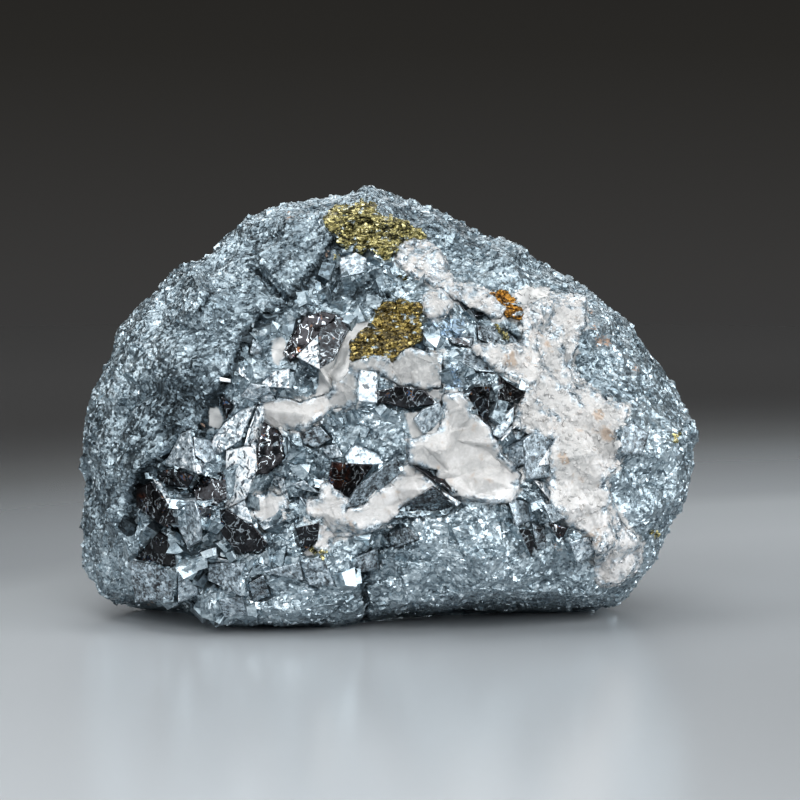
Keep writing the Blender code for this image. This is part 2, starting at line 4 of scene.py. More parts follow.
import bmesh
import bpy
import numpy as np
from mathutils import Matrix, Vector, noise
from mathutils.bvhtree import BVHTree
from mathutils.geometry import tessellate_polygon
from mathutils.kdtree import KDTree


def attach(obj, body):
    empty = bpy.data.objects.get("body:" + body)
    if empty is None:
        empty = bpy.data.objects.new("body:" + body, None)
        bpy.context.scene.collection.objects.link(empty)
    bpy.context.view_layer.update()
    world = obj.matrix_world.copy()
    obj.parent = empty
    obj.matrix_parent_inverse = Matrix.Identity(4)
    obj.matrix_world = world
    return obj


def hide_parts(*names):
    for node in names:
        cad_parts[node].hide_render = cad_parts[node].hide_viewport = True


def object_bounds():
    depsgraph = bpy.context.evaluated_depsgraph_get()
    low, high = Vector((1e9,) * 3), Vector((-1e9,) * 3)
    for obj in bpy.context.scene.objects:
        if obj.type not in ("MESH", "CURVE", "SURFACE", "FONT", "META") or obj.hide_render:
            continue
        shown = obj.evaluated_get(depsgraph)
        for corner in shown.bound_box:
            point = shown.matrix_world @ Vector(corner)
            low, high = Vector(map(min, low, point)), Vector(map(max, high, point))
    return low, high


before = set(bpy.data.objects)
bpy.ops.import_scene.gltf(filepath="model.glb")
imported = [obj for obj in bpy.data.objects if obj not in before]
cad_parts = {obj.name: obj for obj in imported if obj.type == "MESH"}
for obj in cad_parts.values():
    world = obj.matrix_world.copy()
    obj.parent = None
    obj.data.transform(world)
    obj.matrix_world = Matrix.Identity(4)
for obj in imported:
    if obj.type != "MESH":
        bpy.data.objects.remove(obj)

CAD_BOX = [list(corner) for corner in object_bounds()]
MM = 0.001
BODY = "root"
MASS = "skutterudite_mass"
CALCITES = (
    "calcite_vein_right", "calcite_block_centre", "calcite_band_lower", "calcite_patch_left",
    "calcite_patch_small", "calcite_patch_top", "calcite_knob",
)
# Calcite with a sugary grain
GRAINED = ("calcite_vein_right", "calcite_patch_top", "calcite_knob")
CHALCOPYRITES = ("chalcopyrite_top", "chalcopyrite_middle", "chalcopyrite_bronze")

# The photograph's view. Places on the front are given as seen in it: (x, height) in millimetres, in a plane
# through the solids' own origin that the line of sight crosses squarely.
SIGHT_DISTANCE = 600.0
SIGHT_ELEVATION = math.radians(6.0)
SIGHT_HEIGHT = 31.0
SIGHT_AXIS = np.array((0.0, math.cos(SIGHT_ELEVATION), -math.sin(SIGHT_ELEVATION)))
SIGHT_UP = np.array((0.0, math.sin(SIGHT_ELEVATION), math.cos(SIGHT_ELEVATION)))
# Where the solids' own origin is in the frame
ORIGIN_SHIFT = np.array((0.0, 0.83, 0.0))
EYE = SIGHT_UP * SIGHT_HEIGHT - SIGHT_AXIS * SIGHT_DISTANCE + ORIGIN_SHIFT
FRAME_WIDTH = 118.2
FRAME_CENTRE = (1.7, 31.3)
SENSOR_WIDTH = 36.0

SEED = 7
# It stretches noise on the ore along the slope that its ridges and streaks follow
RIDGE_SLOPE = math.radians(52.0)
ALONG = np.array((math.cos(RIDGE_SLOPE), 0.0, math.sin(RIDGE_SLOPE)))
STREAKS = np.eye(3) - 0.6 * np.outer(ALONG, ALONG)
# The longest edges of the fine meshes, in millimetres, and how far back the front of the ore reaches
FRONT_DEPTH = 4.0
FRONT_EDGE = 0.83
BACK_EDGE = 1.3
BASE_EDGE = 3.0
MINERAL_EDGE = 0.4
PLATE_EDGE = 0.6
# The ore's surface, in millimetres: wavelengths and heights of its grain, streaks and swells, the most that a
# point strays, how deep cracks are, how far it sinks under a large crystal face, and where its flat foot ends
GRAIN_WAVE = 2.0
GRAIN_HEIGHT = 0.22
STREAK_WAVE = 3.5
STREAK_HEIGHT = 0.38
SWELL_WAVE = 7.0
SWELL_HEIGHT = 0.4
JITTER = 0.08
CRACK_DEPTH = 0.5
FACE_RECESS = 0.8
FOOT_HEIGHT = 1.0
# The large crystal faces, in millimetres: the spacing of the sight lines that find the rock under one, how
# far it stands over the rock, how deep its sides reach, how far it stays behind the front of the CAD's box, and
# its waves' lengths and heights. Then the share of the rock that its plane fits, and the share that it covers.
PROBE_STEP = 0.45
FACE_PROUD = 0.12
FACE_DEPTH = 2.4
BOX_MARGIN = 0.5
FACE_WAVES = ((1.6, 0.09), (0.7, 0.03))
FITTED_SHARE = 0.7
COVERED_SHARE = 0.72
# How far a mineral's sides and front swell to close the gap round it, in millimetres, and which way it steps
SIDE_SWELL = 0.5
FRONT_SWELL = 0.1
STEP_DIRECTIONS = np.array(((1.0, 0.2, 0.35), (-0.3, 0.3, 1.0), (0.1, 1.0, -0.2)))
# The floor, in metres: its radius, and the middle of the pool of painted light on it
FLOOR_RADIUS = 0.5
POOL_CENTRE = (0.15, -0.1, 0.0)
# Softboxes round the middle of the stone: name, place and size in metres, and power in watts
STONE_MIDDLE = (0.0, 0.0, 0.03)
LIGHTS = (
    ("top", (-0.08, -0.05, 0.6), (0.7, 0.5), 3.2),
    ("left", (-0.6, -0.4, 0.35), (0.45, 0.6), 2.8),
    ("right", (0.65, -0.3, 0.3), (0.4, 0.5), 4.2),
    ("front", (0.1, -1.1, 0.6), (1.0, 0.5), 13.5),
    ("back", (0.1, 0.7, 0.5), (0.8, 0.3), 2.5),
)
# The chalcopyrite patches' metals: name, how far their flakes tilt in radians, and colours from the painted
# shade of their gaps to painted glints
METALS = (
    ("brass", 0.8, (
        (0.25, (0.03, 0.03, 0.018)), (0.45, (0.25, 0.225, 0.09)), (0.62, (0.52, 0.475, 0.23)),
        (0.84, (0.88, 0.84, 0.6)))),
    ("golden", 0.5, (
        (0.22, (0.06, 0.05, 0.025)), (0.44, (0.22, 0.165, 0.05)), (0.64, (0.38, 0.31, 0.11)),
        (0.9, (0.72, 0.7, 0.48)))),
    ("bronze", 0.5, (
        (0.25, (0.03, 0.02, 0.012)), (0.44, (0.26, 0.12, 0.02)), (0.64, (0.52, 0.26, 0.04)),
        (0.88, (0.85, 0.6, 0.2)))),
)

# The edge of the rind round the window of broken crystals
LEDGE = (
    (-6.4, 57.2), (-8.6, 53.2), (-11.9, 49.1), (-15.6, 45.4), (-19.3, 42.9), (-21.5, 40.2), (-22.5, 35.8),
    (-25.6, 31.3), (-27.9, 25.4), (-31.6, 23.2), (-35.2, 21), (-37, 18.5), (-38.5, 12.1),
)
WINDOW = LEDGE + (
    (-38.5, 3), (-31, 0.5), (-22, -2), (-8, -1), (-3, 2), (-2, 10), (5, 12),
    (10, 16), (18, 16.5), (24, 14), (30, 8), (32, 12), (26, 20), (24, 27),
    (22, 34), (21, 40), (20, 45), (12, 47.5), (6, 50), (-1, 52.5), (-5, 55),
)
# Lines of shadow, each with its half width
CRACKS = (
    (LEDGE, 1.2), (((-19.9, 50.8), (-15.9, 46.7)), 0.45), (((-25.3, 48.3), (-27.9, 44.5)), 0.25),
    (((-3.3, 6), (-3.3, -1)), 0.6), (((-2.4, 8.3), (1.1, 10.5)), 0.4),
    (((-29, 6), (-28.4, -1)), 0.5), (((8.5, 48), (15, 43.8)), 0.8),
    (((5.2, 40.6), (8.1, 35.6)), 0.4), (((17.1, 42), (20.2, 39)), 0.4),
    (((-5.2, 46.7), (-2.5, 47.4), (0, 46.6)), 0.6),
)
# Areas without large crystals, one of them bright
BRIGHT_AREA = ((-3.2, 29.9), (2.4, 30.3), (2.9, 25.4), (-1.3, 23.2), (-3.9, 25.4))
FINE_AREAS = (
    BRIGHT_AREA,
    ((-2.1, 13), (1.7, 12.4), (7.6, 15.8), (16.5, 16.1), (23.1, 13.6), (29.8, 9.9), (30.1, 3.3),
     (-2.1, 0.9)),
    ((-19.7, 5.5), (-13.1, 6.2), (-7.2, 4.7), (-7.2, -2.2), (-19, -2.1)),
)
# Darker and lighter areas of the ore, mostly painted shade and light: a darker patch on the left of the rind,
# painted light on the underside, a bright granular area, the lower belt and the lower left, and painted shade
# on the left side and along the top. Outline, width of the soft edge, and shade, which is below 0 where it is
# lighter
SHADES = (
    (((-34.5, 33.5), (-30.1, 35.5), (-26.1, 33.5), (-26.7, 29.1), (-28.4, 25.1), (-32.3, 23.9),
      (-35.5, 25.4)), 6, 0.6),
    (((7.6, 2.4), (13.5, 3.8), (20.9, 4.4), (31.3, 3.8), (34.2, 1.8), (25.3, 0), (7.6, -0.3)), 1.5, -0.05),
    (BRIGHT_AREA, 2, -0.15),
    (((-2, 13), (7.6, 15.5), (16, 16), (24, 13), (26, 5), (10, 4), (-2, 3)),
     4, -0.22),
    (((-38, 9), (-20, 7), (-6, 6), (-6, -1), (-38, 0)), 3, -0.25),
    (((-46, 28), (-38, 34), (-35, 22), (-38, 10), (-46, 8)), 4, 0.2),
    (((-34, 30), (-27, 47), (-16, 58), (0, 64), (10, 60), (24, 52),
      (18, 49), (0, 55), (-12, 52), (-22, 42), (-27, 30)), 5, 0.22),
)
# Thin films of calcite over the ore
FILMS = (
    ((-10.4, 35.5), (-8.3, 38.7), (-6.4, 40.9), (-4.2, 43.4), (-2.4, 42.9), (-4.8, 38.4), (-6, 34.6),
     (-8.6, 32.2), (-10.7, 31.9)),
    ((-2, 38.4), (1.7, 39.5), (5.4, 38.7), (7.6, 35.8), (7.6, 31.3), (5.4, 31.8), (3.2, 34),
     (-0.5, 36.2)),
    ((2.3, 29.3), (7.6, 30.1), (8.5, 26.9), (6.1, 24.2), (3.5, 25.4)),
    ((-26.5, 30), (-25, 30.1), (-24.3, 28.4), (-24.8, 26.7), (-26.2, 27.2)),
    ((-17.5, 40.2), (-15.4, 40.8), (-14.9, 38.7), (-16, 36.4), (-17.2, 37.2)),
    ((17.2, 46.1), (20.2, 48.3), (23.9, 48.3), (25.3, 46.1), (23.1, 43.2), (18.7, 42.4)),
    ((17.4, 39.5), (20.9, 38.7), (22.4, 36.5), (19.4, 35.5), (16.5, 36.9)),
    ((-12.3, 9.9), (-10.3, 9.8), (-10.4, 8.3), (-12.3, 8.4)),
)
# Grey, translucent parts of the calcite
GREY_AREAS = (
    ((-9, 42.5), (7.6, 40.5), (9.5, 33), (1.7, 33), (-5.5, 30.3), (-7, 33)),
    ((-18.5, 42), (-13, 42), (-13, 34.5), (-18.5, 34.5)),
    ((2, 27.5), (7, 27.5), (7, 20.5), (2, 20.5)),
    ((23.6, 46.4), (27, 46.4), (27, 44.6), (23.6, 44.6)),
    ((16.5, 25.5), (20.5, 25.5), (20.5, 20), (16.5, 20)),
)
BLUE_AREAS = (
    ((6.1, 42.9), (10.3, 43.2), (10.6, 41.1), (7, 40.5)),
    ((8.5, 36.1), (10.6, 36.4), (10.9, 33.1), (8.8, 31)),
    ((18.5, 15.7), (20.9, 16), (21.2, 13.9), (19.1, 13.3)),
)
# Brown stains in the calcite: centre and radius
STAINS = (
    ((23.7, 39.3), 1), ((31.1, 29), 1), ((32.3, 26.4), 1.4), ((-10, 30), 0.9),
    ((18, 37.5), 1.2), ((7.4, 21.2), 0.5), ((30.4, 11), 1.2), ((26, 22.5), 1), ((-5.4, 12.6), 0.8),
)
# Where the large dark faces glow red-brown: centre and radius, as in the two lists after it
RED_SPOTS = (((-7.2, 20.2), 1.6), ((-26.9, 10.9), 0.6), ((-36.5, 17), 0.6))
RUST_SPOTS = (
    ((29.8, 44.5), 0.5), ((30.5, 42), 0.6), ((31.7, 39.9), 1.2), ((-35.2, 1.5), 0.8), ((-14.5, 58.4), 0.6),
    ((-8.6, 52.9), 0.5), ((20.9, 32.7), 0.4), ((27.4, 45.4), 0.5), ((-27.3, 27.6), 0.4), ((36.6, 36), 0.6),
    ((25.2, 9.6), 0.5), ((34.5, 45), 0.6),
)
GOLD_SPOTS = (
    ((-10.9, 9.6), 0.8), ((-9.5, 8.6), 0.6), ((2.3, 49.1), 0.9), ((16.3, 42), 0.6), ((17.3, 41), 0.6),
    ((42.4, 25.9), 0.6), ((39.4, 11.5), 0.5), ((-7.7, 52.6), 0.4), ((-3.6, 60.4), 0.5),
)

# Large flat crystal faces: outline, and tone from 0 for black to 1 for white, which paints in what each
# mirror-like face reflects, from black for the dark surroundings to white for a softbox
CRYSTAL_FACES = (
    (((-26.5, 23.9), (-25.6, 26), (-24.2, 27.8), (-21.9, 29.6), (-19.7, 30.4), (-21.8, 25.4),
      (-25.5, 23)), 0.8),
    (((-19.3, 30.3), (-18.4, 30.4), (-18.3, 27.8), (-18.7, 24.2), (-21.2, 24.8), (-20.5, 27.2)), 0.85),
    (((-23.9, 23.8), (-19.6, 24.6), (-19.3, 21), (-21.1, 16.7), (-24.1, 15.2)), 1),
    (((-18.3, 28.1), (-14.7, 26), (-14.7, 22.8), (-17.8, 20.3), (-19.6, 20.4), (-19.3, 24.1)), 0.03),
    (((-13.5, 37.7), (-10.4, 40.9), (-10.1, 35.9)), 0.95),
    (((-18.7, 33.8), (-16.6, 35.6), (-14.7, 35.8), (-14.6, 33.1), (-17.8, 33.3)), 0.85),
    (((-7.3, 52.2), (-4.8, 53.1), (-3.2, 52.2), (-3.6, 50.2), (-6.9, 49.4)), 0.6),
    (((-4.3, 31.2), (-4.2, 35.8), (-1.6, 35.5), (-1.6, 30.9)), 0.8),
    (((-12.6, 43.5), (-9.7, 44.4), (-7.4, 43.9), (-10.6, 40.6), (-13.3, 38), (-14.4, 36.8), (-15.5, 38.3),
      (-14.6, 40.2)), 0.04),
    (((-10.4, 41), (-7.4, 43.9), (-5.4, 42.4), (-8, 37.2), (-10, 36)), 0.14),
    (((-28.9, 18), (-27.4, 20.1), (-24.1, 20.8), (-23.8, 16.7), (-25.5, 15.8), (-28.3, 15.8)), 0.08),
    (((-34.4, 20.7), (-31.6, 21.2), (-28.6, 20.2), (-29.5, 18.3), (-33.4, 18.6)), 0.06),
    (((-37.2, 18.3), (-34.9, 19.2), (-32.6, 16.1), (-31.1, 15.8), (-31.1, 12.6), (-33.3, 12.7),
      (-37.2, 15.6)), 0.05),
    (((-25.9, 15.1), (-23.7, 15.1), (-20, 12.9), (-17.8, 10.2), (-18.7, 9), (-22.1, 8.6),
      (-24.5, 11.4)), 0.07),
    (((-37.5, 7.8), (-33.8, 11.9), (-32.1, 10.9), (-31.3, 6.6)), 0.05),
    (((-13.7, 12.4), (-10.1, 13.2), (-10.4, 10.5), (-12.5, 8.8)), 0.08),
    (((-8.3, 22.2), (-2.2, 21.7), (-3.5, 19.8), (-6.1, 16.6), (-8.1, 17.9), (-8.8, 19.8)), 0.04),
    (((-1.9, 32.6), (1.4, 33.3), (5, 33), (7.5, 30.7), (2.6, 30.1), (-1.6, 31.1)), 0.08),
    (((10.9, 31.7), (12.8, 33.3), (15.1, 33.3), (14.8, 27.9), (11.7, 30.2)), 0.06),
    (((16.4, 35.1), (17.8, 33.9), (20.7, 32.2), (18.4, 31.1), (16.2, 30.1)), 0.07),
    (((3.6, 21.6), (7.5, 21.3), (9.9, 17.4), (6, 19.9)), 0.06),
    (((6.6, 18.4), (10.5, 15.8), (8.6, 14.4), (0, 13.7), (2.6, 16.1)), 0.22),
    (((19.4, 12.2), (20.9, 12.2), (21.7, 10.3), (21.2, 8.2)), 0.06),
    (((23.4, 13.4), (26.6, 12.4), (25.5, 10.3)), 0.07),
    (((-32.9, 22), (-31.8, 24.1), (-30.8, 26.1), (-29.2, 26.8), (-28, 20.6)), 0.65),
    (((-21.6, 31.9), (-20.2, 33.7), (-17.8, 33.4), (-16.6, 31.3), (-19, 30.7)), 0.7),
    (((-38.4, 7.6), (-33.8, 6.7), (-31.3, 5.8), (-32, 1.9), (-37.2, 1.6)), 0.4),
    (((-31, 6.4), (-28.2, 3.5), (-28.2, 2.5), (-31, 1.3)), 0.6),
    (((-26.7, 7.2), (-21.1, 7.2), (-22, 4.7), (-21.6, 2.3), (-26.6, 4.7)), 0.5),
    (((-18.6, 5.9), (-13.1, 7.4), (-12.6, 4.7)), 0.55),
    (((-13, 7.5), (-9.5, 8), (-7.9, 3.8), (-11.8, 4)), 0.5),
    (((-23.6, 15.2), (-21.2, 16.5), (-20, 13.1), (-21.9, 13.9)), 0.75),
    (((-19.2, 13.2), (-16.2, 14.5), (-15.2, 13.6), (-18.3, 12.1)), 0.7),
    (((3.9, 28.5), (5.2, 29.9), (7.6, 30.8), (8.5, 28.5), (7.6, 26.6), (5.2, 26.3)), 0.6),
    (((15.5, 26.2), (16.6, 28.7), (18.6, 30.3), (18.5, 28.2), (16.6, 25.7)), 0.65),
    (((20, 25.4), (21.1, 26.2), (25, 26.2), (24.8, 20.1), (20.4, 19.6)), 0.5),
    (((20.9, 23.6), (24.1, 24.2), (23.8, 21.8), (21.4, 21.2)), 1),
    (((17.4, 24.4), (20, 25.4), (20.3, 22), (18.2, 21)), 0.6),
    (((17.7, 16.6), (20.6, 16.4), (21, 13.6), (19, 12.6)), 0.55),
    (((21.2, 13.2), (23.2, 12.6), (23.4, 9.6), (21.9, 9.2)), 0.35),
    (((6.8, 17.9), (8.4, 17.6), (10.8, 16.2), (10.2, 15.6), (8, 17)), 0.8),
    (((-6.4, 22.9), (-5, 24.9), (-1.6, 23.4), (-0.4, 22), (-3.4, 21.6), (-5.8, 21.6)), 0.65),
    (((11.2, 38.6), (15.6, 37.4), (15.9, 35.4), (13.2, 35.6), (11, 36.8)), 0.55),
    (((8.9, 40.7), (12.6, 40.6), (12.4, 39), (9.4, 39.6)), 0.2),
    (((13.2, 42.4), (17, 42.2), (19.6, 39.6), (16, 39.2), (13.4, 40.4)), 0.42),
    (((10.6, 46), (13.2, 45.8), (14.8, 43.9), (12.6, 43.6), (11, 44.8)), 0.15),
    (((-28.7, 25.8), (-26.2, 25.3), (-25.3, 22.6), (-27, 22), (-28.4, 23.1)), 0.62),
    (((-28.4, 22), (-27, 21.9), (-27.4, 20.6), (-28.2, 20.4)), 0.9),
    (((-24.6, 31.8), (-22.9, 30.6), (-23.9, 28.3)), 0.05),
    (((-30.2, 16.4), (-28.6, 16.6), (-27.8, 14.2), (-27.6, 10.8), (-29.6, 9.6), (-31, 12.5)), 0.6),
    (((-28.3, 15.6), (-26, 15.4), (-26.2, 13.9), (-28, 14.2)), 0.12),
    (((-16.6, 20), (-15.4, 19.6), (-14.6, 16.4), (-15.3, 16.6)), 0.85),
    (((-14.3, 18.9), (-12.6, 18), (-10.2, 17.6), (-12.4, 19.4)), 0.7),
    (((-13.2, 17.2), (-11.8, 17), (-10.6, 15), (-12.2, 15.6)), 0.5),
    (((-20, 40.4), (-18.6, 39), (-18.9, 37), (-20.4, 38.2)), 0.6),
    (((-22, 36.2), (-20.6, 34.6), (-20.2, 33.9), (-22, 35.2)), 0.95),
    (((-24.9, 34.7), (-23.3, 34.4), (-23.3, 33.9), (-24.8, 34.1)), 0.95),
    (((-12.8, 26.6), (-10.2, 27.6), (-8.4, 25.6), (-10.6, 24.2), (-12.6, 24.9)), 0.35),
    (((-9.8, 24.4), (-7.6, 24.8), (-6.6, 22.9), (-8.9, 22.6)), 0.6),
    (((-5, 8), (-1.6, 9.4), (-1.2, 6.4), (-4.2, 5.8)), 0.5),
    (((-1, 11.4), (3, 12.6), (4.6, 10.8), (1, 9.4)), 0.4),
    (((-25, 1.8), (-21.6, 2.2), (-20.8, -0.4), (-24.2, -0.8)), 0.55),
    (((-20.6, 4.2), (-18.4, 5.4), (-17.4, 2.4), (-19.8, 1.4)), 0.35),
    (((23, 15.8), (26.1, 16.2), (27.1, 14.3), (24.2, 13.1)), 0.6),
    (((26.8, 10.3), (29.5, 11.1), (30.9, 8.9), (28, 7.2)), 0.6),
    (((-6.3, 15.4), (-4.7, 18.2), (-2, 20.4), (1, 22.7), (2.6, 21), (-1.3, 17.8), (-3.9, 15.9)), 0.45),
    (((33.6, 26.8), (36, 28), (38.6, 26.4), (37.6, 23.4), (34.4, 23.2)), 0.45),
    (((-34.8, 19.8), (-33.6, 19), (-31.8, 16.1), (-32.4, 15.8)), 0.85),
    (((-25.8, 8.1), (-21.1, 7.2), (-25.6, 7.4)), 0.95),
    (((16.3, 25.7), (18.9, 28.1), (19.2, 27.7), (16.8, 25.3)), 0.95),
    (((21.5, 19.5), (24.5, 18.8), (24.2, 16.2)), 0.95),
)
FACE_OUTLINES = tuple(outline for outline, _ in CRYSTAL_FACES)


def seen(points):
    """Places in the sight plane, in millimetres, of points in metres."""
    line = points / MM - EYE
    place = EYE + line * (SIGHT_DISTANCE / (line @ SIGHT_AXIS))[:, None] - ORIGIN_SHIFT
    return np.column_stack((place[:, 0], place @ SIGHT_UP))


def sight_line(place):
    """The direction from the eye through a place in the sight plane."""
    through = np.array((place[0], 0.0, 0.0)) + SIGHT_UP * place[1] + ORIGIN_SHIFT
    line = through - EYE
    return line / np.linalg.norm(line)


def inside(places, outline):
    """Which places are inside a closed outline."""
    x, y = places[:, 0], places[:, 1]
    odd = np.zeros(len(places), bool)
    for (x0, y0), (x1, y1) in zip(outline, outline[1:] + outline[:1]):
        if y0 != y1:
            odd ^= ((y0 > y) != (y1 > y)) & (x < x0 + (x1 - x0) * (y - y0) / (y1 - y0))
    return odd


def distance_to(places, line):
    """How far each place is from a line of points."""
    nearest = np.full(len(places), 1e9)
    for start, end in zip(line, line[1:]):
        start = np.array(start)
        run = np.array(end) - start
        share = np.clip(((places - start) @ run) / (run @ run), 0.0, 1.0)
        nearest = np.minimum(nearest, np.linalg.norm(places - start - share[:, None] * run, axis=1))
    return nearest


def cover(places, outline, soft):
    """1 inside an outline and 0 outside it, with a soft edge of this width."""
    depth = distance_to(places, outline + outline[:1])
    depth = np.where(inside(places, outline), depth, -depth)
    return np.clip(0.5 + depth / soft, 0.0, 1.0)


def most_covered(places, outlines, soft):
    """The most that any of these outlines covers each place."""
    return np.max([cover(places, outline, soft) for outline in outlines], axis=0)


def near_spots(places, spots):
    """1 within 0.4 of a spot's radius, and 0 past 1.4 of it: spots are centres and radii."""
    share = np.zeros(len(places))
    for centre, radius in spots:
        away = np.linalg.norm(places - np.array(centre), axis=1)
        share = np.maximum(share, np.clip(1.4 - away / radius, 0.0, 1.0))
    return share


def fractal(points, wavelength, octaves=3):
    """Fractal noise between about -1 and 1 at each point, of a wavelength in millimetres."""
    return np.array([noise.fractal(Vector(p), 0.8, 2.0, octaves) for p in points / (wavelength * MM)])


def mesh_arrays(mesh):
    """The mesh's points and triangles as arrays."""
    points = np.empty(len(mesh.vertices) * 3)
    mesh.vertices.foreach_get("co", points)
    mesh.calc_loop_triangles()
    faces = np.empty(len(mesh.loop_triangles) * 3, np.int32)
    mesh.loop_triangles.foreach_get("vertices", faces)
    return points.reshape(-1, 3), faces.reshape(-1, 3)


def joined(parts):
    """The points and triangles of several meshes as those of one."""
    starts = np.cumsum([0] + [len(points) for points, _ in parts])
    faces = [faces + start for (_, faces), start in zip(parts, starts)]
    return np.concatenate([points for points, _ in parts]), np.concatenate(faces)


def new_mesh(name, points, faces):
    mesh = bpy.data.meshes.new(name)
    mesh.vertices.add(len(points))
    mesh.vertices.foreach_set("co", np.ascontiguousarray(points, np.float32).ravel())
    mesh.loops.add(faces.size)
    mesh.loops.foreach_set("vertex_index", np.ascontiguousarray(faces, np.int32).ravel())
    mesh.polygons.add(len(faces))
    mesh.polygons.foreach_set("loop_start", np.arange(0, faces.size, 3, dtype=np.int32))
    mesh.update(calc_edges=True)
    mesh.shade_flat()
    return mesh


def new_object(name, data):
    made = bpy.data.objects.new(name, data)
    bpy.context.scene.collection.objects.link(made)
    return made


def add_piece(name, mesh, material):
    obj = new_object(name, mesh)
    mesh.materials.clear()
    mesh.materials.append(material)
    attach(obj, BODY)
    return obj


def set_values(mesh, values, domain="POINT"):
    """Stores one number for each point or face of the mesh under each name, for its material to read."""
    for name, numbers in values.items():
        layer = mesh.attributes.new(name, "FLOAT", domain)
        layer.data.foreach_set("value", np.ascontiguousarray(numbers, np.float32))


def edges_of(faces):
    """The three edges of each triangle, as pairs of point numbers."""
    return faces[:, [0, 1, 1, 2, 2, 0]].reshape(-1, 3, 2)


def rolled(faces, cuts, first):
    """Each triangle's corners and the cuts of its edges, starting from its corner number first."""
    rows = (np.arange(3) + first[:, None]) % 3
    return (*np.take_along_axis(faces, rows, 1).T, *np.take_along_axis(cuts, rows, 1).T)


def divided(points, faces, longest):
    """Triangles divided at their edges' middles until no edge is longer than longest(middle)."""
    while True:
        ends = np.sort(edges_of(faces).reshape(-1, 2), axis=1)
        pairs, edge = np.unique(ends, axis=0, return_inverse=True)
        middle = points[pairs].mean(axis=1)
        too_long = np.linalg.norm(points[pairs[:, 0]] - points[pairs[:, 1]], axis=1) > longest(middle)
        if not too_long.any():
            return points, faces
        cut_at = np.full(len(pairs), -1)
        cut_at[too_long] = len(points) + np.arange(too_long.sum())
        points = np.concatenate((points, middle[too_long]))
        cuts = cut_at[edge.reshape(-1, 3)]
        count = (cuts >= 0).sum(axis=1)
        one, two, three = (count == number for number in (1, 2, 3))
        a, b, c, ab, _, _ = rolled(faces[one], cuts[one], (cuts[one] >= 0).argmax(axis=1))
        made = [(a, ab, c), (ab, b, c)]
        a, b, c, ab, bc, _ = rolled(faces[two], cuts[two], (cuts[two] < 0).argmax(axis=1) + 1)
        made += [(a, ab, c), (ab, b, bc), (ab, bc, c)]
        a, b, c = faces[three].T
        ab, bc, ca = cuts[three].T
        made += [(a, ab, ca), (ab, b, bc), (ca, bc, c), (ab, bc, ca)]
        faces = np.concatenate([faces[count == 0]] + [np.stack(corners, axis=1) for corners in made])


def refined(node_name, longest):
    """A node's mesh as points, their outward directions and triangles, divided as in divided()."""
    shape = bmesh.new()
    shape.from_mesh(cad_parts[node_name].data)
    bmesh.ops.remove_doubles(shape, verts=shape.verts[:], dist=1e-6)
    bmesh.ops.triangulate(shape, faces=shape.faces[:])
    welded = bpy.data.meshes.new("welded")
    shape.to_mesh(welded)
    shape.free()
    points, faces = divided(*mesh_arrays(welded), longest)
    fine = new_mesh("fine", points, faces)
    normals = np.empty(len(points) * 3)
    fine.vertex_normals.foreach_get("vector", normals)
    bpy.data.meshes.remove(welded)
    bpy.data.meshes.remove(fine)
    return points, normals.reshape(-1, 3), faces


def solids_tree(names):
    """A search tree of these nodes' solids."""
    points, faces = joined([mesh_arrays(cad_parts[name].data) for name in names])
    return BVHTree.FromPolygons(points.tolist(), faces.tolist())


def covered(points, tree):
    """Which points have a solid of this tree between them and the eye, within 5 cm."""
    found = []
    for point in points:
        line = Vector(EYE * MM - point)
        found.append(tree.ray_cast(Vector(point), line.normalized(), 0.05)[0] is not None)
    return np.array(found, bool)


def surface(points, faces):
    """Middles, outward directions and areas (in square millimetres) of the triangles."""
    corners = points[faces]
    cross = np.cross(corners[:, 1] - corners[:, 0], corners[:, 2] - corners[:, 0])
    length = np.linalg.norm(cross, axis=1)
    return corners.mean(axis=1), cross / np.maximum(length, 1e-15)[:, None], length / 2 / MM ** 2


def front_marks(points, facing, border):
    """What the photo shows on the ore at these points, as shares: films, dark places of mostly painted shade
    and shadow (painted light where below 0), rust and blue tints.
    """
    places = seen(points)
    beside = np.array([border.find(Vector((x, y, 0.0)))[2] for x, y in places])
    # The shade is painted shade above 0 and painted light below 0; the cracks add painted shadow
    shade = sum(cover(places, outline, soft) * shade for outline, soft, shade in SHADES)
    crack = np.max([1.1 - distance_to(places, line) / width for line, width in CRACKS], axis=0).clip(0.0, 1.0)
    marks = {
        "film": np.maximum(most_covered(places, FILMS, 1.2), np.clip(0.85 - beside / 2.8, 0.0, 1.0)),
        "dark": shade + crack * (1.0 - shade),
        "rust": near_spots(places, RUST_SPOTS),
        "blue": most_covered(places, BLUE_AREAS, 0.8),
    }
    return {name: values * facing for name, values in marks.items()}


def ore_edge(middle):
    """The longest edge of the ore's mesh at these places: short in front, and long in the hidden base."""
    longest = np.where(middle[:, 1] < FRONT_DEPTH * MM, FRONT_EDGE, BACK_EDGE)
    return np.where(middle[:, 2] < 0.2 * MM, BASE_EDGE, longest) * MM


def front_share(points, normals):
    """1 on the front of the rock, falling to 0 where it turns from the eye or is behind the crest."""
    turned = np.clip(-(normals @ SIGHT_AXIS) * 3.0, 0.0, 1.0)
    return turned * np.clip(1.5 - points[:, 1] / (FRONT_DEPTH * MM), 0.0, 1.0)


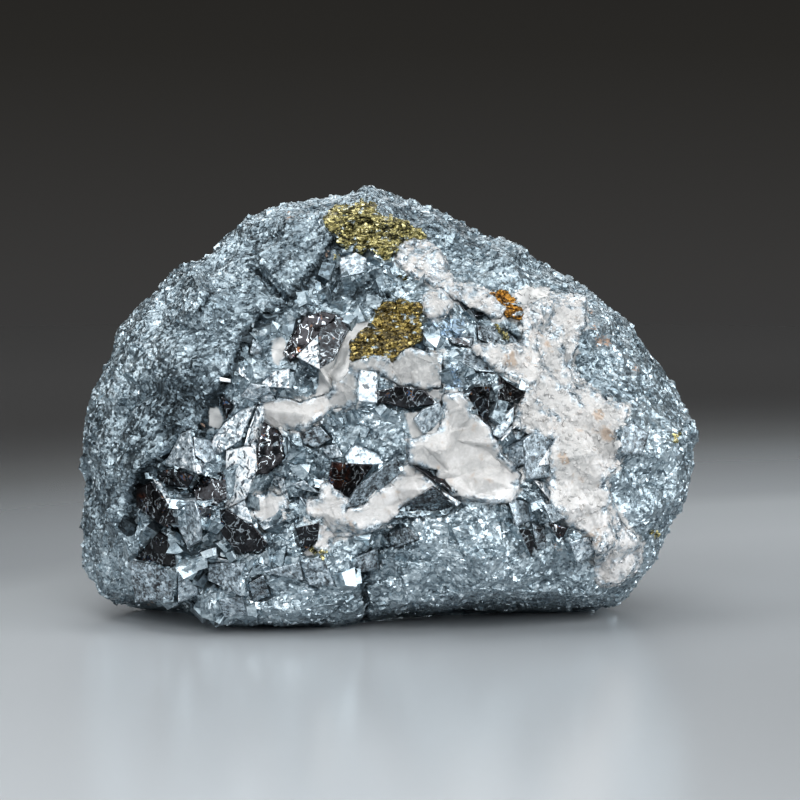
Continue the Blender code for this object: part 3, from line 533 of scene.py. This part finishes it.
def build_mass(border):
    """The ore itself: the solid's own form with a broken, granular surface."""
    points, normals, faces = refined(MASS, ore_edge)
    draw = np.random.default_rng(SEED)
    jitter = draw.uniform(-1.0, 1.0, len(points)) * JITTER
    facing = front_share(points, normals)
    marks = front_marks(points, facing, border)
    relief = jitter + fractal(points, GRAIN_WAVE) * GRAIN_HEIGHT
    relief += fractal(points @ STREAKS, STREAK_WAVE) * STREAK_HEIGHT
    relief = relief * (1.0 - 0.75 * marks["film"]) + fractal(points, SWELL_WAVE, 2) * SWELL_HEIGHT
    relief -= np.maximum(marks["dark"], 0.0) * CRACK_DEPTH
    relief -= most_covered(seen(points), FACE_OUTLINES, 0.8) * facing * FACE_RECESS
    lift_off = np.clip(points[:, 2] / (FOOT_HEIGHT * MM), 0.0, 1.0)
    points = points + normals * (relief * lift_off * MM)[:, None]
    points += draw.normal(size=points.shape) * (0.04 * MM * lift_off * (1.0 - marks["film"]))[:, None]
    points[:, 2] = np.maximum(points[:, 2], 0.0)
    middles, outward, areas = surface(points, faces)
    mesh = new_mesh("ore", points, faces)
    mesh.polygons.foreach_set("use_smooth", marks["film"][faces].mean(axis=1) > 0.4)
    marks["tone"] = 0.45 + 0.35 * fractal(points, SWELL_WAVE, 2)
    set_values(mesh, marks)
    ore = add_piece("ore", mesh, ore_material("ore", 0.4, 0.36))
    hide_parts(MASS)
    return middles, outward, areas


def tilted_frames(directions, most_tilt, draw):
    """Rotations whose third axis is the direction, tilted at random by up to most_tilt radians."""
    count = len(directions)
    nudge = draw.normal(size=(count, 3))
    nudge -= (nudge * directions).sum(axis=1)[:, None] * directions
    nudge /= np.linalg.norm(nudge, axis=1)[:, None]
    tilt = (most_tilt * np.sqrt(draw.random(count)))[:, None]
    third = directions * np.cos(tilt) + nudge * np.sin(tilt)
    side = np.cross(third, draw.normal(size=(count, 3)))
    side /= np.linalg.norm(side, axis=1)[:, None]
    return np.stack((side, np.cross(third, side), third), axis=2)


def chips(spots, frames, radii, corners, rise, peak, draw):
    """Broken crystals: a flat or peaked top with this many corners, and walls that widen into the rock.

    It returns their points and triangles, and which crystal each triangle belongs to.
    """
    count = len(spots)
    turn = (np.arange(corners) + draw.uniform(-0.35, 0.35, (count, corners))) * 2 * math.pi / corners
    reach = draw.uniform(0.6, 1.15, (count, corners)) * radii[:, None]
    across, along = np.cos(turn) * reach, np.sin(turn) * reach
    level = np.repeat((rise * radii)[:, None], corners, axis=1)
    depth = np.repeat(-0.8 * radii[:, None], corners, axis=1)
    top = np.stack((across, along, level), axis=2)
    foot = np.stack((across * 1.3, along * 1.3, depth), axis=2)
    tip = top.mean(axis=1, keepdims=True)
    tip[:, :, 2] += (peak * radii)[:, None]
    points = np.concatenate((top, foot, tip), axis=1)
    points = np.einsum("nij,nkj->nki", frames, points) + spots[:, None]
    here = np.arange(corners)
    following = (here + 1) % corners
    fans = np.stack((np.full(corners, 2 * corners), here, following), axis=1)
    walls = np.stack((here, here + corners, following + corners), axis=1)
    more_walls = np.stack((here, following + corners, following), axis=1)
    base = np.array([(corners, corners + k + 1, corners + k) for k in range(1, corners - 1)])
    pattern = np.concatenate((fans, walls, more_walls, base))
    size = 2 * corners + 1
    faces = pattern[None] + (np.arange(count) * size)[:, None, None]
    return points.reshape(-1, 3), faces.reshape(-1, 3), np.repeat(np.arange(count), len(pattern))


def chips_piece(name, spots, directions, radii, tilt, peaked, marks, material, draw):
    """A piece of joined chips with three to five corners, in equal shares."""
    parts = []
    order = draw.integers(3, 6, len(spots))
    for corners in (3, 4, 5):
        chosen = np.flatnonzero(order == corners)
        frames = tilted_frames(directions[chosen], tilt, draw)
        rise = draw.uniform(0.12, 0.34, len(chosen))
        peak = np.where(draw.random(len(chosen)) < peaked, draw.uniform(0.25, 0.7, len(chosen)), 0.0)
        points, faces, owner = chips(spots[chosen], frames, radii[chosen] * MM, corners, rise, peak, draw)
        parts.append((points, faces, chosen[owner]))
    points, faces = joined([part[:2] for part in parts])
    owner = np.concatenate([part[2] for part in parts])
    points[:, 2] = np.maximum(points[:, 2], 0.0)
    mesh = new_mesh(name, points, faces)
    values = {mark: numbers[owner] for mark, numbers in marks.items()}
    values["tone"] = np.clip(values["tone"] + draw.uniform(-0.08, 0.08, len(owner)), 0.0, 1.0)
    set_values(mesh, values, "FACE")
    add_piece(name, mesh, material)


def sample(areas, density, draw):
    """Numbers of faces drawn at random, at this density for each face in pieces a square millimetre."""
    weight = areas * density
    return draw.choice(len(areas), size=int(weight.sum()), p=weight / weight.sum())


def build_chips(middles, outward, areas, border, minerals):
    """The granular crust of the rind, and the broken crystals in the window."""
    places = seen(middles)
    facing = outward @ SIGHT_AXIS < 0.15
    window = inside(places, WINDOW) & facing & (middles[:, 1] < 0.0)
    fine = np.any([inside(places, outline) for outline in FINE_AREAS], axis=0)
    clear = (most_covered(places, FACE_OUTLINES + FILMS, 0.8) > 0.2) & facing
    above = middles[:, 2] > FOOT_HEIGHT * MM
    # Name, where, crystals a square millimetre, smallest and largest radius in millimetres, how few are
    # large, most tilt in radians, and the share with a peak
    kinds = (
        ("rind_grains_front", above & ~window & (middles[:, 1] < 0.0), 1.5, (0.2, 0.55), 2.3, 0.38, 0.3),
        ("rind_grains_back", above & ~window & (middles[:, 1] >= 0.0), 0.9, (0.3, 0.8), 2.3, 0.4, 0.3),
        ("window_grains", above & window & ~clear, 1.9, (0.2, 0.55), 2.0, 0.5, 0.4),
        ("window_crystals", above & window & ~fine & ~clear, 0.3, (0.6, 1.8), 1.6, 0.45, 0.2),
    )
    draw = np.random.default_rng(SEED + 1)
    grain_material = ore_material("ore_grains", 0.12, 0.36)
    crystal_material = ore_material("ore_crystals", 0.08, 0.34)
    for name, where, density, (small, large), power, tilt, peaked in kinds:
        chosen = sample(areas, where * density, draw)
        chosen = chosen[~covered(middles[chosen] + outward[chosen] * 0.2 * MM, minerals) | ~facing[chosen]]
        radii = small + (large - small) * draw.random(len(chosen)) ** power
        marks = front_marks(middles[chosen], front_share(middles[chosen], outward[chosen]), border)
        marks["tone"] = draw.beta(1.6, 1.4, len(chosen))
        material = grain_material
        if name == "window_crystals":
            material = crystal_material
            marks["tone"] = draw.uniform(0.05, 0.7, len(chosen))
            bare = (marks["film"] < 0.3) & (marks["rust"] < 0.1)
            chosen, radii = chosen[bare], radii[bare]
            marks = {mark: numbers[bare] for mark, numbers in marks.items()}
        chips_piece(name, middles[chosen], outward[chosen], radii, tilt, peaked, marks, material,
                    draw)


def plate(outline, tree):
    """The corners of a crystal face and its direction, on the plane that fits the rock in an outline."""
    corners = np.array(outline)
    low, high = corners.min(axis=0), corners.max(axis=0)
    across, up = np.meshgrid(np.arange(low[0], high[0], PROBE_STEP), np.arange(low[1], high[1], PROBE_STEP))
    grid = np.column_stack((across.ravel(), up.ravel()))
    grid = np.concatenate((grid[inside(grid, outline)], [corners.mean(axis=0)]))
    eye = Vector(EYE * MM)
    hits = [tree.ray_cast(eye, Vector(sight_line(place)))[0] for place in grid]
    hits = np.array([hit for hit in hits if hit is not None]) / MM
    kept = hits
    for _ in range(4):
        centre = kept.mean(axis=0)
        normal = np.linalg.svd(kept - centre, full_matrices=False)[2][2] if len(kept) > 3 else -SIGHT_AXIS
        off = np.abs((hits - centre) @ normal)
        kept = hits[off <= np.quantile(off, FITTED_SHARE)]
    normal = normal if normal @ SIGHT_AXIS < 0 else -normal
    if normal @ SIGHT_AXIS > -0.6:
        normal = normal - SIGHT_AXIS * 0.7
        normal /= np.linalg.norm(normal)
    level = np.quantile((hits - centre) @ normal, COVERED_SHARE) + FACE_PROUD
    lines = np.array([sight_line(place) for place in outline])
    reach = ((centre - EYE) @ normal + level) / (lines @ normal)
    corners = EYE + lines * reach[:, None]
    too_far = CAD_BOX[0][1] / MM - BOX_MARGIN - corners[:, 1].min()
    return corners + SIGHT_AXIS * max(too_far, 0.0), normal


def plate_mesh(corners, normal):
    """A crystal face as points, triangles and which of them are its front, with sides that slope back."""
    fan = np.array(tessellate_polygon([[Vector(corner) for corner in corners]]))
    if surface(corners, fan)[1][0] @ normal < 0:
        fan = fan[:, ::-1]
    points, front = divided(corners, fan, lambda middle: PLATE_EDGE)
    middle = corners.mean(axis=0)
    back = middle + (points - middle) * 1.08 + SIGHT_AXIS * FACE_DEPTH
    wave = [sum(noise.noise(Vector(p) / length) * height for length, height in FACE_WAVES) for p in points]
    points = points + np.outer(wave, normal)
    ends = edges_of(front).reshape(-1, 2)
    _, first, times = np.unique(np.sort(ends, axis=1), axis=0, return_index=True, return_counts=True)
    start, end = ends[first[times == 1]].T
    count = len(points)
    walls = ((end, start, start + count), (end, start + count, end + count))
    walls = [np.stack(corners, axis=1) for corners in walls]
    faces = np.concatenate((front, front[:, ::-1] + count, *walls))
    return np.concatenate((points, back)), faces, np.arange(len(faces)) < len(front)


def build_crystal_faces(tree):
    """The large crystal faces, as plates set in the rock."""
    plates = [plate_mesh(*plate(outline, tree)) for outline, _ in CRYSTAL_FACES]
    points, faces = joined([part[:2] for part in plates])
    points *= MM
    points[:, 2] = np.maximum(points[:, 2], 0.0)
    mesh = new_mesh("crystal_faces", points, faces)
    # Each face's tone, which paints in its reflection
    tones = np.repeat([tone for _, tone in CRYSTAL_FACES], [len(part[0]) for part in plates])
    set_values(mesh, {"tone": tones, "red": near_spots(seen(points), RED_SPOTS)})
    mesh.polygons.foreach_set("use_smooth", np.concatenate([part[2] for part in plates]))
    add_piece("crystal_faces", mesh, face_material())


def set_inputs(tree, target, inputs):
    """Gives each named input of a node another node's output, a number, a vector or a colour."""
    for name, value in inputs.items():
        socket = target.inputs[name]
        if isinstance(value, bpy.types.NodeSocket):
            tree.links.new(value, socket)
        elif socket.type == "RGBA":
            socket.default_value = (*value, 1.0)
        else:
            socket.default_value = value


def node(tree, kind, inputs=None, **settings):
    made = tree.nodes.new("ShaderNode" + kind)
    for name, value in settings.items():
        setattr(made, name, value)
    set_inputs(tree, made, inputs or {})
    return made


def new_material(name):
    """A material, its nodes, its shader and the place on the object."""
    material = bpy.data.materials.new(name)
    material.use_nodes = True
    tree = material.node_tree
    place = node(tree, "TexCoord").outputs["Object"]
    return material, tree, tree.nodes["Principled BSDF"], place


def maths(tree, operation, *values, clamp=False):
    return node(tree, "Math", dict(enumerate(values)), operation=operation, use_clamp=clamp).outputs[0]


def product(tree, first, second):
    return maths(tree, "MULTIPLY", first, second)


def weighted(tree, *pairs):
    """The sum of values times weights, held between 0 and 1."""
    total = 0.0
    for value, weight in pairs:
        total = maths(tree, "MULTIPLY_ADD", value, weight, total)
    return maths(tree, "ADD", total, 0.0, clamp=True)


def attribute(tree, name):
    return node(tree, "Attribute", attribute_name=name).outputs["Fac"]


def noise_value(tree, place, wavelength, detail=4.0, distortion=0.0):
    """Noise of a wavelength in millimetres."""
    inputs = {"Vector": place, "Scale": 1.0 / (wavelength * MM), "Detail": detail, "Distortion": distortion}
    return node(tree, "TexNoise", inputs).outputs["Fac"]


def cells(tree, place, size):
    """A random colour for each grain of a size in millimetres, and its first channel."""
    colour = node(tree, "TexVoronoi", {"Vector": place, "Scale": 1.0 / (size * MM)}).outputs["Color"]
    return colour, node(tree, "SeparateColor", {0: colour}).outputs[0]


def stretched(tree, place, turn, scale):
    """The place turned in the plane of the front, then scaled, so that grains drawn from it are streaks."""
    return node(tree, "Mapping", {"Vector": place, "Rotation": (0.0, turn, 0.0), "Scale": scale}).outputs[0]


def ramp(tree, factor, stops):
    made = node(tree, "ValToRGB", {"Fac": factor})
    while len(made.color_ramp.elements) < len(stops):
        made.color_ramp.elements.new(0.5)
    for element, (place, colour) in zip(made.color_ramp.elements, stops):
        element.position = place
        element.color = (*colour, 1.0)
    return made.outputs["Color"]


def limits(tree, value, low, high):
    """0 where the value is at low or past it, 1 where it is at high or past it, and even between them."""
    return node(tree, "MapRange", {"Value": value, "From Min": low, "From Max": high}).outputs["Result"]


def mix(tree, factor, first, second):
    return node(tree, "Mix", {0: factor, 6: first, 7: second}, data_type="RGBA").outputs[2]


def vector_maths(tree, operation, inputs):
    return node(tree, "VectorMath", inputs, operation=operation).outputs[0]


def facet_normal(tree, *turns):
    """The surface's direction, turned a little for each grain: pairs of a grain colour and a strength."""
    normal = node(tree, "NewGeometry").outputs["Normal"]
    for colour, strength in turns:
        offset = vector_maths(tree, "SUBTRACT", {0: colour, 1: (0.5, 0.5, 0.5)})
        scaled = vector_maths(tree, "SCALE", {0: offset, "Scale": strength})
        normal = vector_maths(tree, "ADD", {0: normal, 1: scaled})
    return vector_maths(tree, "NORMALIZE", {0: normal})


def ore_material(name, facets, roughness):
    """Silver blue-grey ore: grains of many tones that face many ways, with films, rust, and dark places of
    painted shade and shadow that turn to painted light where the mark is below 0.
    """
    material, tree, shader, place = new_material(name)
    coarse_colour, coarse = cells(tree, stretched(tree, place, RIDGE_SLOPE, (0.6, 1.0, 1.1)), 0.62)
    fine_colour, fine = cells(tree, place, 0.3)
    patches = noise_value(tree, place, 6.0)
    # The dark mark darkens the tone with painted shade and shadow, and lightens it with painted light where it
    # is below 0
    tone = weighted(
        tree, (coarse, 0.3), (fine, 0.24), (patches, 0.55), (attribute(tree, "tone"), 0.42),
        (attribute(tree, "dark"), -0.55), (1.0, -0.22))
    colour = ramp(tree, tone, (
        (0.0, (0.018, 0.025, 0.03)), (0.3, (0.1, 0.135, 0.16)), (0.6, (0.31, 0.385, 0.43)),
        (1.0, (0.68, 0.77, 0.82))))
    cloud = noise_value(tree, place, 1.3)
    film = limits(tree, maths(tree, "ADD", attribute(tree, "film"), cloud), 1.0, 1.2)
    film_colour = ramp(tree, noise_value(tree, place, 2.5, 5.0), (
        (0.3, (0.26, 0.27, 0.275)), (0.5, (0.42, 0.43, 0.43)), (0.68, (0.62, 0.62, 0.61))))
    blue = product(tree, attribute(tree, "blue"), limits(tree, fine, 0.45, 0.6))
    colour = mix(tree, product(tree, blue, 0.6), colour, (0.42, 0.6, 0.82))
    rust = limits(tree, maths(tree, "ADD", attribute(tree, "rust"), fine), 1.15, 1.5)
    set_inputs(tree, shader, {
        "Base Color": mix(tree, rust, colour, (0.3, 0.21, 0.16)),
        "Metallic": maths(tree, "MULTIPLY_ADD", rust, -0.85, 0.9),
        "Roughness": weighted(tree, (fine, 0.16), (rust, 0.2), (1.0, roughness - 0.06)),
        "Normal": facet_normal(tree, (coarse_colour, facets), (fine_colour, facets * 0.7)),
    })
    coat = node(tree, "BsdfPrincipled", {"Base Color": film_colour, "Roughness": 0.32})
    both = node(tree, "MixShader", {"Fac": film, 1: shader.outputs[0], 2: coat.outputs[0]})
    set_inputs(tree, tree.nodes["Material Output"], {"Surface": both.outputs[0]})
    return material


def growth_lines(tree, place, wavelength, turns, width, gaps):
    """Thin lines along the contours of noise of this wavelength, broken where other noise is low."""
    growth = noise_value(tree, place, wavelength, 2.0, 0.9)
    ridge = maths(tree, "PINGPONG", product(tree, growth, turns), 0.5)
    broken = limits(tree, noise_value(tree, place, wavelength * 0.4, 2.0), gaps - 0.05, gaps + 0.04)
    return product(tree, limits(tree, ridge, width, width * 0.4), broken)


def face_material():
    """The large crystal faces: black mirrors with white lines, mottled grey, and white with black marks, their
    black and white painted reflections of the dark surroundings and the softboxes.
    """
    material, tree, shader, place = new_material("ore_faces")
    # The tone paints in each face's reflection, from black for the dark surroundings to white for a softbox
    tone = attribute(tree, "tone")
    coarse_colour, coarse = cells(tree, place, 0.6)
    fine_colour, fine = cells(tree, place, 0.28)
    cloud = noise_value(tree, place, 0.9)
    speckle = maths(tree, "MULTIPLY_ADD", fine, 0.4, maths(tree, "MULTIPLY_ADD", coarse, 0.3, cloud))
    speckle = product(tree, maths(tree, "SUBTRACT", speckle, 0.85), limits(tree, tone, 0.0, 0.35))
    shade = weighted(tree, (tone, 0.86), (speckle, 0.9), (1.0, 0.03))
    colour = ramp(tree, shade, (
        (0.0, (0.01, 0.009, 0.01)), (0.12, (0.024, 0.025, 0.028)), (0.35, (0.12, 0.15, 0.17)),
        (0.6, (0.34, 0.42, 0.48)), (0.8, (0.62, 0.7, 0.75)), (0.95, (0.93, 0.96, 0.98))))
    red = product(tree, attribute(tree, "red"), limits(tree, cloud, 0.42, 0.58))
    colour = mix(tree, red, colour, (0.085, 0.028, 0.016))
    tint = product(tree, limits(tree, coarse, 0.95, 0.98), limits(tree, tone, 0.3, 0.1))
    tint_colour = ramp(tree, fine, ((0.4, (0.06, 0.11, 0.2)), (0.6, (0.2, 0.09, 0.04))))
    colour = mix(tree, tint, colour, tint_colour)
    white = growth_lines(tree, place, 1.9, 4.0, 0.085, 0.44)
    white = product(tree, white, limits(tree, tone, 0.65, 0.0))
    colour = mix(tree, white, colour, (0.42, 0.47, 0.51))
    black = growth_lines(tree, place, 1.5, 2.8, 0.25, 0.4)
    black = product(tree, black, limits(tree, tone, 0.35, 0.85))
    turn = maths(tree, "MULTIPLY_ADD", tone, 0.25, 0.03)
    set_inputs(tree, shader, {
        "Base Color": mix(tree, black, colour, (0.03, 0.045, 0.06)),
        # Light faces turn from metal to diffuse white, so that their painted reflection of a softbox is bright
        # from every side
        "Metallic": maths(tree, "MULTIPLY_ADD", tone, -0.85, 1.0),
        "Roughness": weighted(tree, (fine, 0.1), (cloud, 0.12), (tone, 0.2), (1.0, 0.08)),
        "Normal": facet_normal(tree, (coarse_colour, turn), (fine_colour, turn)),
    })
    return material


def calcite_material(name, sugar):
    """White to pinkish calcite that thins out into ore at its edges, with this much sparkle in its grain."""
    material, tree, shader, place = new_material(name)
    grain_colour, grain = cells(tree, place, 0.7)
    fine_colour, fine = cells(tree, place, 0.3)
    clouds = noise_value(tree, place, 4.5)
    tone = weighted(
        tree, (grain, 0.08), (fine, 0.08), (clouds, 0.75), (attribute(tree, "tone"), 0.35), (1.0, -0.1))
    colour = ramp(tree, tone, (
        (0.15, (0.25, 0.26, 0.26)), (0.38, (0.37, 0.375, 0.375)), (0.55, (0.445, 0.445, 0.44)),
        (0.8, (0.58, 0.585, 0.59)), (1.0, (0.72, 0.725, 0.73))))
    warm = limits(tree, maths(tree, "ADD", clouds, attribute(tree, "warm")), 0.8, 1.25)
    colour = mix(tree, product(tree, warm, 0.6), colour, (0.6, 0.5, 0.43))
    spots = noise_value(tree, place, 1.6, 3.0)
    brown = limits(tree, maths(tree, "MULTIPLY_ADD", attribute(tree, "stain"), 0.35, spots), 0.62, 0.8)
    colour = mix(tree, product(tree, brown, 0.65), colour, (0.34, 0.24, 0.16))
    frays = noise_value(tree, place, 1.2, 3.0)
    thin = limits(tree, maths(tree, "MULTIPLY_ADD", frays, -3.4, attribute(tree, "edge")), -1.2, -2.0)
    ore = ramp(tree, weighted(tree, (fine, 0.6), (grain, 0.4)), (
        (0.1, (0.05, 0.07, 0.09)), (0.5, (0.28, 0.35, 0.4)), (0.9, (0.66, 0.74, 0.8))))
    set_inputs(tree, shader, {
        "Base Color": mix(tree, thin, colour, ore),
        "Metallic": product(tree, thin, 0.85),
        "Roughness": weighted(tree, (fine, 0.2), (1.0, 0.28)),
        "Subsurface Weight": 0.2,
        "Subsurface Radius": (0.9, 0.8, 0.75),
        "Subsurface Scale": MM,
        "Normal": facet_normal(tree, (grain_colour, sugar * 0.6), (fine_colour, sugar)),
    })
    return material


def chalcopyrite_material(name, stops):
    """Brassy metal whose streaks run from painted shade in the gaps to bright gold, the brightest of it painted
    glints.
    """
    material, tree, shader, place = new_material(name)
    place = stretched(tree, place, 0.35, (0.5, 1.0, 1.5))
    grain_colour, grain = cells(tree, place, 0.5)
    fine_colour, fine = cells(tree, place, 0.25)
    clouds = noise_value(tree, place, 1.8)
    # The tone runs from painted shade in the gaps to painted glints
    tone = weighted(
        tree, (grain, 0.35), (fine, 0.25), (clouds, 0.5), (attribute(tree, "tone"), 0.3), (1.0, -0.25))
    grey = limits(tree, noise_value(tree, place, 1.1, 3.0), 0.6, 0.66)
    set_inputs(tree, shader, {
        "Base Color": mix(tree, grey, ramp(tree, tone, stops), (0.35, 0.42, 0.46)),
        "Metallic": 0.9,
        "Roughness": weighted(tree, (fine, 0.2), (1.0, 0.25)),
        "Normal": facet_normal(tree, (grain_colour, 0.6), (fine_colour, 0.5)),
    })
    return material


def places_tree(places):
    """A search tree of places in the sight plane."""
    tree = KDTree(len(places))
    for i, (x, y) in enumerate(places):
        tree.insert((x, y, 0.0), i)
    tree.balance()
    return tree


def mineral_values(points, edge, levels):
    """What a set mineral's material reads at its points: distance from its edge, tone with painted light lower
    down and a little painted shade higher up, warmth and stains.
    """
    places = seen(points)
    height = places[:, 1]
    grey = most_covered(places, GREY_AREAS, 3.0)
    # Painted light on the lower calcite, which faces down, and a little painted shade higher up
    tone = 0.45 + 0.2 * levels - 0.65 * grey + np.clip((27.0 - height) * 0.035, -0.2, 1.0)
    warm = np.clip(0.45 - height / 60.0, 0.0, 1.0) - 0.5 * grey
    return {"edge": edge, "tone": tone, "warm": warm, "stain": near_spots(places, STAINS)}


def build_setting(name, material, slot, step, cell):
    """A mineral set in the ore: its solid, swollen, with steps of this height and size in millimetres.

    It returns the places at its border, and its triangles' middles, directions, areas and edge distances.
    """
    points, normals, faces = refined(name, lambda middle: MINERAL_EDGE * MM)
    border = seen(points[np.abs(normals @ SIGHT_AXIS) < 0.55])
    tree = places_tree(border)
    edge = np.array([tree.find((x, y, 0.0))[2] for x, y in seen(points)])
    draw = np.random.default_rng(SEED + len(name))
    levels = np.array([noise.cell(Vector(p)) for p in np.round(points @ STEP_DIRECTIONS.T / (cell * MM))])
    relief = step * (levels - 0.5 + fractal(points, 2.5) * 0.6)
    relief += draw.uniform(-0.03, 0.03, len(points))
    front = np.clip(-(normals @ SIGHT_AXIS), 0.0, 1.0)
    ragged = SIDE_SWELL + 0.5 * fractal(points, 1.4, 2)
    relief = ragged * (1.0 - front) + FRONT_SWELL * front + relief * np.clip(0.35 + edge, 0.0, 1.0)
    points = points + normals * (relief * MM)[:, None]
    mesh = new_mesh(name + "_surface", points, faces)
    if slot == "calcite":
        mesh.shade_smooth()
    set_values(mesh, mineral_values(points, edge, levels))
    piece = add_piece(name + "_surface", mesh, material)
    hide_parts(name)
    return border, (*surface(points, faces), edge[faces[:, 0]])


def mineral_grains(name, skins, density, sizes, tilt, material, draw):
    """Small crystals over the outer faces of set minerals."""
    middles, outward, areas, edges = (np.concatenate(parts) for parts in zip(*skins))
    open_side = outward @ SIGHT_AXIS < -0.2
    chosen = sample(areas, open_side * density, draw)
    radii = draw.uniform(*sizes, len(chosen))
    marks = {"tone": draw.random(len(chosen)), "edge": edges[chosen] + 0.4, "warm": np.full(len(chosen), 0.3)}
    chips_piece(name, middles[chosen], outward[chosen], radii, tilt, 0.3, marks, material, draw)


def build_minerals():
    """The calcite and the chalcopyrite. It returns the calcite's borders as a search tree, and the brass."""
    draw = np.random.default_rng(SEED + 2)
    smooth = calcite_material("calcite_smooth", 0.1)
    sugary = calcite_material("calcite_sugary", 0.3)
    borders, skins = [], []
    for name in CALCITES:
        grained = name in GRAINED
        step, cell = (0.18, 1.0) if grained else (0.14, 2.6)
        border, skin = build_setting(name, sugary if grained else smooth, "calcite", step, cell)
        borders.append(border)
        if grained:
            skins.append(skin)
    mineral_grains("calcite_grains", skins, 1.0, (0.2, 0.45), 0.35, sugary, draw)
    metals = [chalcopyrite_material(metal, stops) for metal, _, stops in METALS]
    for name, (_, tilt, _), material in zip(CHALCOPYRITES, METALS, metals):
        _, skin = build_setting(name, material, "chalcopyrite", 0.5 * tilt, 0.7)
        mineral_grains(name + "_flakes", [skin], 2.5, (0.15, 0.4), tilt, material, draw)
    return places_tree(np.concatenate(borders)), metals[0]


def build_gold_specks(tree, material):
    """Small chalcopyrite grains in the ore."""
    draw = np.random.default_rng(SEED + 3)
    spots, directions = [], []
    for centre, radius in GOLD_SPOTS:
        for _ in range(9):
            place = np.array(centre) + draw.normal(size=2) * radius * 0.55
            spot, normal, _, _ = tree.ray_cast(Vector(EYE * MM), Vector(sight_line(place)))
            if spot is not None:
                spots.append(spot + normal * (0.15 * MM))
                directions.append(normal)
    radii = draw.uniform(0.2, 0.42, len(spots))
    marks = {"tone": draw.random(len(spots))}
    chips_piece("chalcopyrite_specks", np.array(spots), np.array(directions), radii, 0.8, 0.4, marks,
                material, draw)


def build_floor():
    """A pale, slightly glossy round floor with a pool of painted light that fades into the dark at its edge."""
    shape = bmesh.new()
    bmesh.ops.create_circle(shape, cap_ends=True, segments=128, radius=FLOOR_RADIUS)
    mesh = bpy.data.meshes.new("floor")
    shape.to_mesh(mesh)
    shape.free()
    floor = new_object("floor", mesh)
    material, tree, shader, place = new_material("floor")
    away = node(tree, "VectorMath", {0: place, 1: POOL_CENTRE}, operation="DISTANCE")
    # The colour paints the light on the floor: lighter out to about 0.4 m from the pool's middle, then fading
    # to dark at the edge
    colour = ramp(tree, limits(tree, away.outputs["Value"], 0.0, FLOOR_RADIUS), (
        (0.2, (0.318, 0.341, 0.36)), (0.3, (0.365, 0.394, 0.418)), (0.41, (0.41, 0.44, 0.465)),
        (0.48, (0.375, 0.405, 0.425)), (0.51, (0.3, 0.325, 0.345)), (0.62, (0.19, 0.206, 0.217)),
        (0.68, (0.113, 0.12, 0.123)), (0.74, (0.07, 0.073, 0.075)), (0.79, (0.051, 0.0525, 0.0535)),
        (0.84, (0.045, 0.0455, 0.046)), (1.0, (0.054, 0.0545, 0.055))))
    set_inputs(tree, shader, {"Base Color": colour, "Roughness": 0.22})
    mesh.materials.append(material)


def build_world():
    """Dark grey surroundings, a little lighter towards the floor."""
    world = bpy.data.worlds.new("surroundings")
    bpy.context.scene.world = world
    world.use_nodes = True
    tree = world.node_tree
    direction = node(tree, "TexCoord").outputs["Generated"]
    height = node(tree, "SeparateXYZ", {0: direction}).outputs["Z"]
    colour = ramp(tree, limits(tree, height, -0.13, 0.03), (
        (0.0, (0.052, 0.053, 0.056)), (0.35, (0.04, 0.039, 0.038)), (0.7, (0.022, 0.021, 0.019)),
        (1.0, (0.015, 0.014, 0.013))))
    set_inputs(tree, tree.nodes["Background"], {"Color": colour})


def add_light(name, place, size, power):
    """A softbox that faces the middle of the stone."""
    name = "softbox_" + name
    light = bpy.data.lights.new(name, "AREA")
    light.shape = "RECTANGLE"
    light.size, light.size_y = size
    light.energy = power
    obj = new_object(name, light)
    obj.location = place
    obj.rotation_euler = (Vector(STONE_MIDDLE) - Vector(place)).to_track_quat("-Z", "Y").to_euler()


def build_camera():
    camera = bpy.data.cameras.new("camera")
    camera.sensor_width = SENSOR_WIDTH
    camera.lens = SENSOR_WIDTH * SIGHT_DISTANCE / FRAME_WIDTH
    camera.clip_start = 0.01
    camera.clip_end = 20.0
    obj = new_object("camera", camera)
    centre = SIGHT_UP * FRAME_CENTRE[1] + np.array((FRAME_CENTRE[0], 0.0, 0.0)) + ORIGIN_SHIFT
    obj.location = Vector((centre - SIGHT_AXIS * SIGHT_DISTANCE) * MM)
    obj.rotation_euler = (math.pi / 2 - SIGHT_ELEVATION, 0.0, 0.0)
    bpy.context.scene.camera = obj


build_camera()
build_world()
for softbox in LIGHTS:
    add_light(*softbox)
build_floor()
mass_tree = solids_tree([MASS])
mineral_tree = solids_tree(CALCITES + CHALCOPYRITES)
calcite_border, gold = build_minerals()
rock_middles, rock_outward, rock_areas = build_mass(calcite_border)
build_chips(rock_middles, rock_outward, rock_areas, calcite_border, mineral_tree)
build_crystal_faces(mass_tree)
build_gold_specks(mass_tree, gold)
bpy.context.scene.view_settings.view_transform = "Standard"
